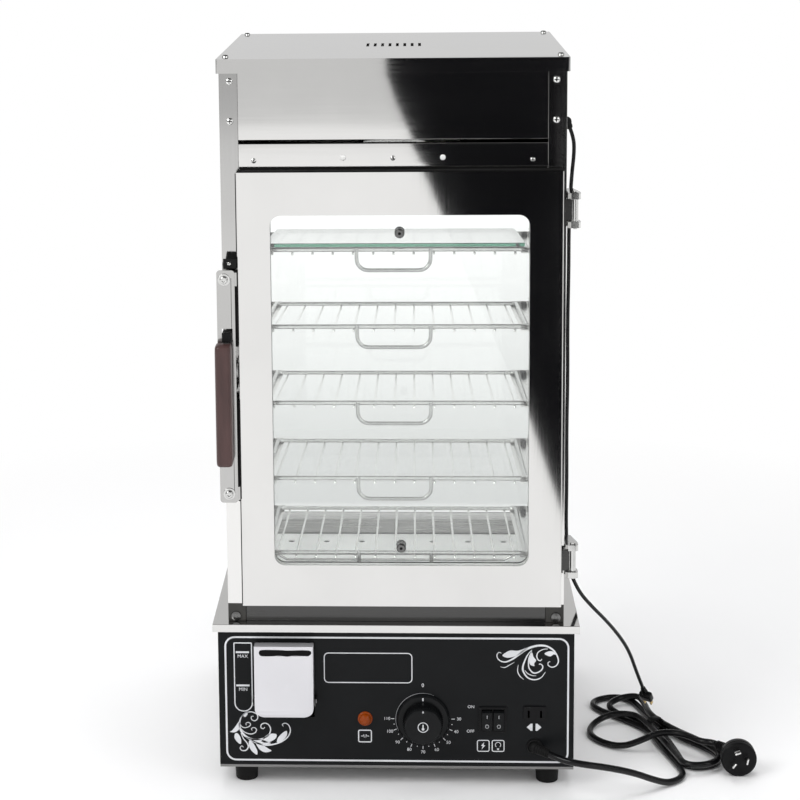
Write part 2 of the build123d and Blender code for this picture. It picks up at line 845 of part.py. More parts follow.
def lamp_bulb():
    z = ceiling_z + 40
    solid = rod((30, lamp_y, z), (14, lamp_y, z), 9.7)
    solid += cone((14, lamp_y, z), (4, lamp_y, z), 9.7, 15)
    solid += rod((4, lamp_y, z), (-22, lamp_y, z), 15)
    solid = fillet(solid.edges().sort_by(Axis.X)[0], 12)
    return solid


def lamp_grommet():
    """A side bush whose nose points down, so that the lead hangs along the wall."""
    wall = post_inner
    place = (wall, grommet_y, grommet_z)
    exit_point = Vector(*lamp_route[0])
    heading = (Vector(*lamp_route[1]) - exit_point).normalized()
    root = exit_point - heading * 8
    solid = rod((wall - 4, grommet_y, grommet_z), place, 4.5 - shaft_fit)
    solid += rod(place, (wall + 3, grommet_y, grommet_z), 7)
    solid += Pos(*root) * Sphere(4.4)
    return solid + cone(tuple(root), tuple(exit_point), 4.4, lamp_cord_radius + 1)


# Racks

def rack(level):
    """A wire rack. It slopes down to the rear, and its handle hangs in front."""
    z = rack_top_z - level * rack_pitch
    half = rack_width / 2 - rack_bar
    far = rack_depth - 2 * rack_bar
    corners = [(-half, 0, 0), (half, 0, 0), (half, far, 0), (-half, far, 0)]
    solid = None
    for start, end in zip(corners, corners[1:] + corners[:1]):
        bar = rod(start, end, rack_bar)
        solid = bar if solid is None else solid + bar
    for corner in corners:
        solid += Pos(*corner) * Sphere(rack_bar)
    drop = rack_bar + rack_wire - 0.4
    for index in range(rack_wires):
        x = (index - (rack_wires - 1) / 2) * rack_wire_pitch
        solid += rod((x, -rack_bar - 0.8, -drop), (x, far + rack_bar, -drop), rack_wire)
    solid = Rot(-rack_slope, 0, 0) * solid
    front = -(rack_bar + rack_handle_rod - 0.4)
    leg = rack_handle_half
    low = -rack_handle_drop
    points = [(-leg, front, 1.5), (-leg, front, low), (leg, front, low), (leg, front, 1.5)]
    handle, _ = tube(points, rack_handle_rod, radii=[rack_handle_bend, rack_handle_bend])
    solid += handle
    if level == rack_count - 1:
        solid += lower_front_wire()
    return Pos(0, rack_front, z) * solid


def lower_front_wire():
    """The second wire below the front bar of the lowest rack."""
    side = rack_width / 2 - runner_lap - 5
    inner = side - 12
    low = -7.6
    return tube([(-side, 0, -1), (-inner, 0, low), (inner, 0, low), (side, 0, -1)], rack_wire, radii=[4, 4])[0]


def rack_frame(side):
    """Two upright strips with one sloping angle for each rack."""
    strip_x = rack_width / 2 + runner_clear
    inner_x = rack_width / 2 - runner_lap
    y_front = rack_front + 6
    y_rear = rack_front + rack_depth - 18
    solid = None
    for y in (y_front, y_rear):
        strip = block(side * strip_x, side * (strip_x + runner_thick), y, y + runner_strip, rim_height, ceiling_z)
        solid = strip if solid is None else solid + strip
    for level in range(rack_count):
        z = rack_top_z - level * rack_pitch
        top = -rack_bar - runner_gap
        start = -rack_bar
        end = rack_depth - rack_bar + 2.5
        shelf = block(side * inner_x, side * strip_x, start, end, top - runner_thick, top)
        wall = block(side * (strip_x - runner_thick), side * strip_x, start, end, top, top + 9)
        stop = block(side * inner_x, side * strip_x, end - runner_thick, end, top, top + 5)
        angle = Rot(-rack_slope, 0, 0) * (shelf + wall + stop)
        solid += Pos(0, rack_front, z) * angle
    return solid


def drip_plate():
    """A loose glass plate that lies on the top rack."""
    half = rack_width / 2 - 5
    low = rack_bar + 0.05
    plate = block(-half, half, 0, rack_depth - 8, low, low + drip_glass)
    plate = fillet(plate.edges().filter_by(Axis.Z), 6)
    return Pos(0, rack_front, rack_top_z) * Rot(-rack_slope, 0, 0) * plate


# Door

def door_frame():
    """The folded front: a face with a window and returned edges."""
    solid = block(door_left, door_right, door_front, door_back - sheet, door_bottom, door_top)
    solid = fillet(solid.edges().filter_by(Axis.Z).group_by(Axis.Y)[0], 1.0)
    solid -= block(door_left + sheet, door_right - sheet, door_front + sheet, door_back + 1,
                   door_bottom + sheet, door_top - sheet)
    solid -= facing_plate(window_left, window_right, window_bottom, window_top, window_radius,
                          door_front - 3, door_back + 3)
    return solid


def door_inner_frame():
    """The flat ring that closes the door's back and holds the inner pane."""
    solid = block(door_left, door_right, door_back - sheet, door_back, door_bottom, door_top)
    return solid - facing_plate(window_left, window_right, window_bottom, window_top, window_radius,
                                door_front, door_back + 3)


def pane(y0, y1):
    solid = block(window_left - pane_lap, window_right + pane_lap, y0, y1,
                  window_bottom - pane_lap, window_top + pane_lap)
    for z in fastener_heights():
        solid -= rod((window_mid, y0 - 1, z), (window_mid, y1 + 1, z), 2.5)
    return solid


def outer_pane_span():
    return door_front + sheet, door_front + sheet + pane_thick


def inner_pane_span():
    return door_back - sheet - pane_thick, door_back - sheet


def fastener_heights():
    return window_top - fastener_inset, window_bottom + fastener_inset


def glass_fasteners():
    y_front = outer_pane_span()[0]
    y_gap0 = outer_pane_span()[1]
    y_gap1 = inner_pane_span()[0]
    y_back = inner_pane_span()[1]
    group = []
    for z in fastener_heights():
        piece = rod((window_mid, y_front - 1, z), (window_mid, y_back + 1, z), 2.4)
        piece += cone((window_mid, y_front, z), (window_mid, y_front - 2, z), fastener_radius, fastener_radius - 1.5)
        piece += rod((window_mid, y_gap0, z), (window_mid, y_gap1, z), 4.5)
        piece += rod((window_mid, y_back, z), (window_mid, y_back + 1, z), fastener_radius)
        group.append(piece)
    return group


def door_gasket():
    """A soft ring behind the door, just clear of the posts."""
    inset = 0.6
    width = 7.0
    y1 = cabinet_front - fit_gap
    solid = block(door_left + inset, door_right - inset, door_back, y1, door_bottom + inset, door_top - inset)
    cut = inset + width
    return solid - block(door_left + cut, door_right - cut, door_back - 1, y1 + 1, door_bottom + cut, door_top - cut)


def hinge_heights():
    return hinge_upper_z, hinge_lower_z


def hinge_ear_outline():
    x0 = half_cabinet
    y_back = cabinet_front + 22
    reach = hinge_x + 5.4
    return [(x0 + 0.5, hinge_y - 3), (x0 + 3.5, hinge_y - 5.4), (reach - 2, hinge_y - 5.4),
            (reach, hinge_y - 3), (reach, hinge_y + 5), (x0 + 8, y_back), (x0 + 0.5, y_back)]


def hinge_brackets():
    """Each bracket is a plate on the post's side with two ears and a fixed pin."""
    group = []
    x0 = half_cabinet
    for z in hinge_heights():
        low = z - hinge_height / 2
        high = z + hinge_height / 2
        piece = block(x0, x0 + hinge_leaf, cabinet_front + 2, cabinet_front + 22, low, high)
        for ear_low in (low, high - hinge_ear):
            piece += plan_profile(hinge_ear_outline(), ear_low, ear_low + hinge_ear)
        piece += rod((hinge_x, hinge_y, low - 1.5), (hinge_x, hinge_y, high + 1.5), hinge_pin_radius)
        piece += rod((hinge_x, hinge_y, high), (hinge_x, hinge_y, high + 1.5), hinge_pin_radius + 1)
        group.append(piece)
    return gather(group)


def hinge_leaves():
    """Each leaf is a strip on the door's side, rolled round the pin."""
    group = []
    inner = hinge_height / 2 - hinge_ear - fit_gap
    half = hinge_leaf / 2
    for z in hinge_heights():
        low = z - inner
        high = z + inner
        piece = block(door_right, door_right + hinge_leaf, door_front + 1.5, door_back - 1, low, high)
        piece += block(door_right, hinge_x, hinge_y - half, hinge_y + half, low, high)
        piece += rod((hinge_x, hinge_y, low), (hinge_x, hinge_y, high), hinge_barrel_radius)
        piece -= rod((hinge_x, hinge_y, low - 1), (hinge_x, hinge_y, high + 1), hinge_pin_radius + shaft_fit)
        group.append(piece)
    return gather(group)


# Handle

def bolt_places():
    return [(channel_mid - 1.6, channel_top - bolt_inset), (channel_mid + 0.3, channel_bottom + bolt_inset)]


def handle_channel():
    front = channel_front
    web = facing_plate(channel_left, channel_right, channel_bottom, channel_top, 3.5, front, front + sheet)
    left = block(channel_left, channel_left + sheet, front + 0.2, front + 9, channel_bottom + 5, channel_top - 5)
    right = block(channel_right - sheet, channel_right, front + 0.2, door_back - 1.5, channel_bottom + 5, channel_top - 5)
    solid = web + left + right
    slot_low = grip_top + 0.6
    slot_half = 5.6
    solid -= block(latch_mid - slot_half, latch_mid + slot_half, front - 2, front + 3, slot_low, slot_low + 13.6)
    solid -= block(channel_right - 3, channel_right + 1, front + 4, door_back + 2, latch_tail_z - 2, latch_roller_z + 13)
    for lug in handle_lugs():
        solid += lug
    for x, z in bolt_places():
        solid -= rod((x, front - 3, z), (x, front + sheet + 12, z), 2.6)
    return solid + latch_pin()


def handle_lugs():
    """Two blocks behind the channel's ends that join it to the door's edge."""
    lugs = []
    for _, z in bolt_places():
        y0 = channel_front + sheet
        lugs.append(block(channel_left + sheet + 0.2, channel_right - sheet, y0 - 0.2, y0 + 9, z - 7, z + 7))
        lugs.append(block(channel_right - 0.2, door_left, y0, door_back - 1.5, z - 7, z + 7))
    return lugs


def handle_bolts():
    """Two dome bolts, each with its washer."""
    group = []
    for x, z in bolt_places():
        y = channel_front - washer_thick
        bolt = rod((x, y, z), (x, channel_front + sheet + 9, z), 2.5)
        head = rod((x, y, z), (x, y - 3.4, z), 4.2)
        head = fillet(head.edges().sort_by(Axis.Y)[0], 1.8)
        socket = rod((x, y - 4, z), (x, y - 1.6, z), 1.7)
        group.append(bolt + head - socket)
        washer = rod((x, channel_front, z), (x, y, z), 6.2)
        group.append(washer - rod((x, channel_front + 1, z), (x, channel_front - 3, z), 2.55))
    return group


def handle_grip():
    """The moulded grip: a long bar with rounded outer edges."""
    x0 = channel_left - 1.6
    x1 = x0 + grip_width
    mid = (grip_top + grip_bottom) / 2
    half = (grip_top - grip_bottom) / 2
    solid = block(x0, x1, grip_front, channel_front, mid - half, mid + half)
    return fillet(solid.edges().filter_by(Axis.Z).group_by(Axis.Y)[0], 6.5)


def latch_lever():
    """The black lever inside the channel: a thumb nose above, a tail with the roller below."""
    y0 = latch_y - 2
    y1 = latch_y + 2
    half = 4.8
    nose_low = grip_top + 1.4
    nose_high = nose_low + 10
    solid = block(latch_mid - half, latch_mid + half, y0, y1, latch_tail_z, nose_high)
    solid += block(latch_mid - half, latch_mid + half, channel_front - 8, y0 + 1, nose_low, nose_high)
    tongue_x = channel_right - 1.9
    solid += block(latch_mid, tongue_x, y0, roller_y + 2.5, latch_tail_z, latch_roller_z + 9)
    solid -= rod((latch_mid - 10, latch_y, latch_pivot_z), (latch_mid + 10, latch_y, latch_pivot_z), 1.2 + shaft_fit)
    solid -= rod((latch_mid, roller_y, latch_roller_z), (tongue_x + 5, roller_y, latch_roller_z), 1.2)
    return solid


def latch_pin():
    return rod((channel_left + sheet, latch_y, latch_pivot_z), (channel_right - sheet, latch_y, latch_pivot_z), 1.2)


def latch_roller():
    x0 = channel_right - 1.7
    x1 = x0 + latch_roller_width
    solid = rod((x0, roller_y, latch_roller_z), (x1, roller_y, latch_roller_z), latch_roller_radius)
    solid += rod((x0 - 4, roller_y, latch_roller_z), (x0, roller_y, latch_roller_z), 1.2)
    return solid


def latch_strike():
    """A small plate on the post that the roller presses against."""
    x0 = channel_left + 6
    y0 = cabinet_front - strike_thick
    return block(x0, door_left - 0.6, y0, cabinet_front, latch_roller_z - 16, latch_roller_z + 12)


def stop_block():
    """The black block on the post, just above the channel."""
    x1 = door_left - 0.6
    x0 = x1 - 13.2
    low = channel_top + 0.8
    solid = block(x0, x1, channel_front + 3, cabinet_front, low, low + 11)
    solid = chamfer(solid.edges().group_by(Axis.Y)[0], 0.8)
    return solid - screw_hole(stop_screw_place(), (0, 1, 0))


def stop_screw_place():
    return (door_left - 0.6 - 7.0, channel_front + 3, channel_top + 0.8 + 5.6)


def stop_screw():
    return dome_screw(stop_screw_place(), (0, -1, 0), head=2.0, length=3.5)


# Cords: routes from exit to far end, chosen by hand from the way the cords lie

def hang(share):
    """A height on the side wall, as a share of the way from the base up to the lamp lead's bush."""
    return rim_height + share * (grommet_z - rim_height)


lamp_route = [
    (half_cabinet + 5.6, 50.4, grommet_z - 6.0), (half_cabinet + 9.6, 51.5, grommet_z - 16.0),
    (half_cabinet + 10.4, 53.0, grommet_z - 32.0), (half_cabinet + 8.8, 55.0, grommet_z - 56.0),
    (half_cabinet + 7.6, 56.0, hang(0.801)), (half_cabinet + 8.2, 58.5, hang(0.696)),
    (half_cabinet + 7.6, 60.0, hang(0.591)), (half_cabinet + 8.4, 61.0, hang(0.48)),
    (half_cabinet + 7.8, 64.0, hang(0.37)), (half_cabinet + 8.4, 65.0, hang(0.263)),
    (half_cabinet + 7.9, 69.0, hang(0.16)), (half_cabinet + 10.4, 72.0, hang(0.079)),
    (half_cabinet + 19.0, 79.0, 192.0), (half_cabinet + 36.5, 93.0, 170.0), (half_cabinet + 57.0, 113.0, 152.0),
    (half_cabinet + 73.0, 135.0, 128.0), (half_cabinet + 84.0, 152.0, 97.0), (half_cabinet + 94.0, 165.0, 66.0),
    (half_cabinet + 102.0, 177.0, 43.0),
]
lamp_plug_sleeve = 9.0
lamp_plug_body = 11.0

mains_exit = (gland_x + gland_nose * 0.72, overlay_front - 3.0 - gland_nose * 0.69, gland_z - gland_nose * 0.08)
mains_route = [
    mains_exit, (gland_x + 27.2, -24.4, 43.5), (gland_x + 48.0, -30.5, 42.0), (gland_x + 76.0, -25.0, 36.0),
    (gland_x + 103.0, -12.0, 25.0), (gland_x + 124.0, 0.0, 12.5), (gland_x + 140.0, 9.5, 4.6),
    (gland_x + 151.0, 18.0, mains_radius + floor_gap),
]

# The tied hank. Each half turn is one lobe: its length, its half width, the turn of its tip and a shift
hank_waist = (292.0, 156.0)
hank_axis = 118.7
hank_layer = 7.6
hank_step = 8.3
hank_lobes = ((104.0, 20.0, -2.0, -7.0), (112.0, 19.0, -6.0, 0.0), (74.0, 13.0, -3.0, -2.0), (123.0, 22.0, -11.0, 0.0))
hank_reverse = 450
hank_last = 700
hank_points = 45
hank_in = [(303.5, 26.0), (307.0, 38.0), (302.5, 62.0), (295.0, 90.0), (288.0, 120.0)]
hank_out = [
    (277.0, 171.0, 11.2), (258.0, 181.0, 11.6), (239.0, 179.5, 9.5), (221.0, 166.0, 5.0), (214.0, 141.0, 3.6),
    (226.0, 117.0, 3.6), (248.0, 102.0, 4.6), (269.0, 103.0, 12.0), (287.0, 107.0, 19.3), (305.0, 107.0, 20.0),
    (320.0, 98.0, 20.0), (330.0, 83.0, 20.0),
]
plug_x = 366.0
plug_y = 36.0
plug_radius = 19.0
plug_neck = 18.0
plug_neck_turn = 122.0
plug_thick = 20.0
plug_blades = ((90, 0, 19.0), (215, 60, 17.0), (325, -60, 17.0))


def unit(angle):
    return math.cos(math.radians(angle)), math.sin(math.radians(angle))


def hank_point(turn):
    """The hank's centre line, from the degrees turned since its first pass through the waist."""
    length, half_width, tip_turn, shift = hank_lobes[int(turn // 180)]
    across, along = unit(turn)
    count = abs(turn - hank_reverse) / 360
    a = length * along
    b = -across * (hank_step * count + half_width / 0.385 * along * along) + shift * along * along
    ax, ay = unit(hank_axis + tip_turn * along * along)
    climb = min(1.0, max(0.0, (turn - hank_reverse + 42) / 100))
    z = mains_radius + floor_gap + hank_layer * climb * climb * (3 - 2 * climb)
    return Vector(hank_waist[0] + a * ax + b * ay, hank_waist[1] + a * ay - b * ax, z)


def plug_neck_end():
    ax, ay = unit(plug_neck_turn)
    reach = plug_radius + plug_neck - 4
    return Vector(plug_x + ax * reach, plug_y + plug_thick / 2 + ay * reach, plug_radius + 1.0)


def way_at(before, here, after):
    """Direction at a point of the course. It is level where the course is level on either side."""
    way = (after - before).normalized()
    level = (here.Z - before.Z) * (after.Z - here.Z) < 0.01
    return Vector(way.X, way.Y, 0 if level else way.Z).normalized()


def hank_course():
    """Points of the whole hank with a direction at each, straight for one diameter at both ends."""
    low = mains_radius + floor_gap
    start = Vector(*mains_route[-1])
    first_way = (start - Vector(*mains_route[-2])).normalized()
    first_way = Vector(first_way.X, first_way.Y, 0).normalized()
    neck = plug_neck_end()
    ax, ay = unit(plug_neck_turn)
    last_way = Vector(-ax, -ay, 0)
    stops = [start + first_way * 2 * mains_radius] + [Vector(x, y, low) for x, y in hank_in]
    stops += [hank_point(turn) for turn in range(0, hank_last, hank_points)]
    stops += [Vector(*point) for point in hank_out] + [neck - last_way * 2 * mains_radius]
    ways = [first_way]
    ways += [way_at(*three) for three in zip(stops, stops[1:], stops[2:])]
    ways.append(last_way)
    return start, stops, ways, neck


def biarc(start, start_way, end, end_way):
    """Two arcs that leave and arrive in the given directions."""
    chord = end - start
    both = start_way + end_way
    spread = 2 * (1 - start_way.dot(end_way))
    pull = chord.dot(both)
    reach = chord.dot(chord) / (pull + math.sqrt(pull * pull + spread * chord.dot(chord)))
    near = start + start_way * reach
    far = end - end_way * reach
    joint = (near + far) * 0.5
    edges = []
    for first, last, way in ((start, joint, start_way), (joint, end, (far - near).normalized())):
        bow = way.cross(last - first).length
        edges.append(Line(first, last) if bow < 0.02 else TangentArc(first, last, tangent=way))
    return edges


def mains_cord_lead():
    return tube(mains_route, mains_radius)


def mains_cord_hank():
    start, stops, ways, neck = hank_course()
    edges = [Line(start, stops[0])]
    for index in range(len(stops) - 1):
        edges += biarc(stops[index], ways[index], stops[index + 1], ways[index + 1])
    edges.append(Line(stops[-1], neck))
    line = Wire([edge.edge() for edge in edges])
    solid = sweep(Plane(origin=start, z_dir=line % 0) * Circle(mains_radius), path=line)
    return solid, line


def lamp_cord():
    return tube(lamp_route, lamp_cord_radius)


def cord_tie():
    """A soft band round the hank's waist."""
    wide = 1.25 * hank_step + mains_radius + 0.4
    high = hank_layer + 2 * mains_radius + floor_gap + 0.4
    outer = Box(9, 2 * wide + 3.0, high + 1.5, align=(Align.CENTER, Align.CENTER, Align.MIN))
    outer = fillet(outer.edges().filter_by(Axis.X), 3.5)
    inner = Box(14, 2 * wide, high - 0.05, align=(Align.CENTER, Align.CENTER, Align.MIN))
    inner = fillet(inner.edges().filter_by(Axis.X), 2.5)
    band = outer - Pos(0, 0, 0.05) * inner
    return Pos(hank_waist[0], hank_waist[1], 0) * Rot(0, 0, hank_axis) * band


def mains_plug():
    """A round flat plug that stands on its rim. Its neck points back to the hank."""
    y0 = plug_y
    y1 = plug_y + plug_thick
    solid = rod((plug_x, y0, plug_radius), (plug_x, y1, plug_radius), plug_radius)
    solid = fillet(solid.edges().group_by(Axis.Y)[0], 2.0)
    solid = fillet(solid.edges().group_by(Axis.Y)[-1], 4.0)
    neck = plug_neck_end()
    ax, ay = unit(plug_neck_turn)
    root = neck - Vector(ax, ay, 0) * (plug_neck + 8)
    solid += cone(tuple(neck), tuple(root), mains_radius + 1.0, 7.0)
    solid -= block(plug_x - 8, plug_x + 8, y0 - 1, y1 + 1, -1, 0.15)
    for angle, spin, length in plug_blades:
        dx, dz = unit(angle)
        place = Pos(plug_x + 7.9 * dx, plug_y - length / 2 + 1, plug_radius + 7.9 * dz)
        solid += place * Rot(0, spin, 0) * Box(1.8, length + 2, 6.3)
    return solid


def lamp_plug():
    """A small two-pin plug at the end of the lamp lead, leaning on the hank."""
    start = Vector(*lamp_route[-1])
    heading = (start - Vector(*lamp_route[-2])).normalized()
    place = Plane(origin=start, z_dir=heading, x_dir=Vector(heading.Y, -heading.X, 0))
    sleeve = Cone(lamp_cord_radius + 0.8, 4.0, lamp_plug_sleeve, align=(Align.CENTER, Align.CENTER, Align.MIN))
    body = Box(15.0, 8.0, lamp_plug_body, align=(Align.CENTER, Align.CENTER, Align.MIN))
    body = Pos(0, 0, lamp_plug_sleeve) * fillet(body.edges().filter_by(Axis.Z), 3.0)
    end = lamp_plug_sleeve + lamp_plug_body
    for side in (-1, 1):
        pin = Box(1.6, 4.5, 7.0, align=(Align.CENTER, Align.CENTER, Align.MIN))
        body += Pos(side * 4.0, 0, end - 1) * pin
    return place * (sleeve + body)


def report_tube(name, solid, line, radius):
    length = line.length
    share = solid.volume / (math.pi * radius * radius * length)
    print(f"{name}: length {length:.0f} mm, volume share {share:.4f}")


def self_gap(line, radius, step=2.0, near=30.0):
    """Least gap between two stretches of a cord that are far apart along it."""
    count = int(line.length / step)
    points = [tuple(line @ (i / count)) for i in range(count + 1)]
    skip = int(near / step)
    least = min(math.dist(a, b) for i, a in enumerate(points) for b in points[i + skip:])
    return least - 2 * radius


lamp_solid, lamp_line = lamp_cord()
lead_solid, lead_line = mains_cord_lead()
hank_solid, hank_line = mains_cord_hank()
report_tube("lamp_cord", lamp_solid, lamp_line, lamp_cord_radius)
report_tube("mains_cord_lead", lead_solid, lead_line, mains_radius)
report_tube("mains_cord_hank", hank_solid, hank_line, mains_radius)
print("bend radii, lamp:", [round(r) for r in bend_radii(lamp_route)])
print("bend radii, mains lead:", [round(r) for r in bend_radii(mains_route)])
print("least gap of the hank to itself:", round(self_gap(hank_line, mains_radius), 2))

screws = cap_screws() + post_screws() + rail_screws() + foot_screws() + [stop_screw()]
posts = [post(side, rear) for side in (-1, 1) for rear in (False, True)]
rails = [lower_rail_front(), lower_rail_rear(), lower_rail_side(-1), lower_rail_side(1)]
roof_walls = [upper_side_panel(-1), upper_side_panel(1), upper_rear_panel()]

pieces = {
    "base_top_rim": base_top_rim(),
    "base_shell": base_shell(),
    "base_bottom_plate": base_bottom_plate(),
    "front_panel": front_panel(),
    "panel_overlay": panel_overlay(),
    "rubber_feet": rubber_feet(),
    "water_tank": water_tank(),
    "steam_plate": steam_plate(),
    "heating_element": heating_element(),
    "drain_pipe": drain_pipe(),
    "thermostat": thermostat_body(),
    "dial_skirt": dial_skirt(),
    "dial_knob": dial_knob(),
    "indicator_lens": indicator_lens(),
    "indicator_body": indicator_body(),
    "switch_body": switch_body(),
    "heater_rocker": rocker(-1),
    "lamp_rocker": rocker(1),
    "outlet_socket": outlet_socket(),
    "cord_glands": gather([mains_gland(), lamp_grommet()]),
    "filler_box": filler_box(),
    "corner_posts": gather(posts),
    "corner_blocks": corner_blocks(),
    "lower_rails": gather(rails),
    "front_rail": front_rail(),
    "upper_front_panel": upper_front_panel(),
    "roof_walls": gather(roof_walls),
    "ceiling_plate": ceiling_plate(),
    "top_cap": top_cap(),
    "cabinet_glass": gather([side_pane(-1), side_pane(1), rear_pane()]),
    "lamp_lens": lamp_lens(),
    "lamp_holder": lamp_holder(),
    "lamp_bulb": lamp_bulb(),
    "rack_frames": gather([rack_frame(-1), rack_frame(1)]),
    "drip_plate": drip_plate(),
    "door_frame": door_frame(),
    "door_inner_frame": door_inner_frame(),
    "door_glass": gather([pane(*outer_pane_span()), pane(*inner_pane_span())]),
    "door_gasket": door_gasket(),
    "door_bolts": gather(glass_fasteners() + handle_bolts()),
    "hinge_brackets": hinge_brackets(),
    "hinge_leaves": hinge_leaves(),
    "handle_channel": handle_channel(),
    "handle_grip": handle_grip(),
    "latch_lever": latch_lever(),
    "latch_roller": latch_roller(),
    "latch_strike": latch_strike(),
    "stop_block": stop_block(),
    "screws": gather(screws),
    "lamp_cord": lamp_solid,
    "lamp_plug": lamp_plug(),
    "mains_cord_lead": lead_solid,
    "mains_cord_hank": hank_solid,
    "cord_tie": cord_tie(),
    "mains_plug": mains_plug(),
}
for level in range(rack_count):
    pieces[f"rack_{level + 1}"] = rack(level)
for name, shape in pieces.items():
    export_step(Pos(0, origin_shift, 0) * shape, f"parts/{name}.step")
print(len(pieces), "pieces, moved along Y by", origin_shift)
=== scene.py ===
"""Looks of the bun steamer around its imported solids: cords, sheet steel, glass, racks, controls and the studio."""
import json
import math

import bmesh
import bpy
from bpy.props import FloatProperty, FloatVectorProperty, IntProperty, PointerProperty
from mathutils import Matrix, Vector


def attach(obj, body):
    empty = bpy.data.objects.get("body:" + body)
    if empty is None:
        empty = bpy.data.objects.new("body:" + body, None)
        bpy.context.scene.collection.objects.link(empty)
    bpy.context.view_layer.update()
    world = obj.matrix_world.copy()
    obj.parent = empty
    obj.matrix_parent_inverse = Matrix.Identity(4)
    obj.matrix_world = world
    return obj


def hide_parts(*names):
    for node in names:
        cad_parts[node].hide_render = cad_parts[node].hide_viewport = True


bl_info = {
    "name": "Bun steamer",
    "version": (1, 0, 0),
    "blender": (4, 5, 0),
    "location": "3D View > Sidebar > Steamer",
    "description": "Dresses the bun steamer: cords, sheet steel, glass, racks, printed panel, controls and studio",
    "category": "Object",
}

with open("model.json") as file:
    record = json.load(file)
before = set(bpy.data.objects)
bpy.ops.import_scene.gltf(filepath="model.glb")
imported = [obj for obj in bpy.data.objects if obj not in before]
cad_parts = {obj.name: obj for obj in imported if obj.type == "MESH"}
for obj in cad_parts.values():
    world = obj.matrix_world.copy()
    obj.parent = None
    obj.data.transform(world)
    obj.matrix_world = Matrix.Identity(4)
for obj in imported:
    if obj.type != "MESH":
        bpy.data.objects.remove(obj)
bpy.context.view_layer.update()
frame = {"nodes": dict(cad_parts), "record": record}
NODES = frame["nodes"]
BODY_OF = {node: body for body, nodes in frame["record"]["behaviour"]["bodies"].items() for node in nodes}

# Places are in millimetres from the front edge of the steel rim, as in the part's source
MM = 0.001
FRONT_TO_MIDDLE = 174.5
CABINET_HALF = 176.3
GLAND_X = 146.1
OVERLAY_FRONT = 4.5
DIAL = (28.5, 76.0)
INDICATOR = (-32.5, 76.0)
RACK_TOP = 576.8
RACK_PITCH = 81.0
RACK_SLOPE = 6.0
RACK_FRONT = 24.0
ROCKER_TILT = 9.0
ROCKER_AXIS = (6.8, 75.6)
FILLER_X = -117.2
FILLER_HALF = 31.2
POST_FRONT = 11.0
BEHIND_POST = 12.2


def at(x, y, z):
    return Vector((x * MM, (y - FRONT_TO_MIDDLE) * MM, z * MM))


# Settings that a user would change

def length(name, text, value):
    return FloatProperty(name=name, description=text, default=value, min=0.0, unit="LENGTH")


def number(name, text, value, least):
    return IntProperty(name=name, description=text, default=value, min=least)


def tint(name, text, value):
    return FloatVectorProperty(name=name, description="Colour of " + text, subtype="COLOR", default=value,
                               min=0, max=1)


class SteamerSizes(bpy.types.PropertyGroup):
    sheet_edge: length("Sheet edge", "Rounding of cut and bent sheet edges", 0.0004)
    mains_diameter: length("Mains lead", "Diameter of the mains lead", 0.007)
    lamp_diameter: length("Lamp lead", "Diameter of the lamp lead", 0.004)
    ink: length("Ink", "Thickness of the printed marks", 0.0001)
    rack_wires: number("Rack wires", "Cross wires in each rack", 13, 2)
    wire_pitch: length("Wire pitch", "Space between the cross wires", 0.0208)
    knob_ribs: number("Knob ribs", "Ribs round the dial knob", 56, 8)


class SteamerColours(bpy.types.PropertyGroup):
    steel: tint("Steel", "the sheet steel", (0.67, 0.665, 0.655))
    overlay: tint("Overlay", "the printed front", (0.0062, 0.0068, 0.0075))
    ink: tint("Ink", "lines and numbers", (0.66, 0.67, 0.69))
    filler: tint("Filler box", "the tip-out box", (0.66, 0.655, 0.68))
    grip: tint("Grip", "the door grip", (0.068, 0.036, 0.034))
    lens: tint("Lamp lens", "the indicator lens", (0.25, 0.042, 0.002))
    floor: tint("Floor", "the studio floor", (0.9, 0.9, 0.9))


def sizes():
    return bpy.context.scene.steamer_sizes


def colours():
    return bpy.context.scene.steamer_colours


# Materials and trees

class Graph:
    """A node tree under construction. A value that is a socket is linked, any other is set."""

    def __init__(self, tree):
        self.tree = tree

    def node(self, kind, inputs=None, **fields):
        made = self.tree.nodes.new(kind)
        for name, value in fields.items():
            setattr(made, name, value)
        for name, value in (inputs or {}).items():
            self.feed(made.inputs[name], value)
        return made

    def feed(self, socket, value):
        if isinstance(value, bpy.types.NodeSocket):
            self.tree.links.new(value, socket)
        else:
            socket.default_value = value

    def math(self, operation, *values):
        return self.node("ShaderNodeMath", dict(enumerate(values)), operation=operation).outputs[0]

    def span(self, value, low, high, start=0.3, end=0.7, **fields):
        given = {"Value": value, "From Min": start, "From Max": end, "To Min": low, "To Max": high}
        return self.node("ShaderNodeMapRange", given, **fields).outputs["Result"]

    def mix(self, factor, first, second):
        return self.node("ShaderNodeMixShader", {0: factor, 1: first, 2: second}).outputs[0]

    def parts(self, vector):
        return self.node("ShaderNodeSeparateXYZ", {0: vector}).outputs

    def whole(self, **parts):
        return self.node("ShaderNodeCombineXYZ", parts).outputs[0]


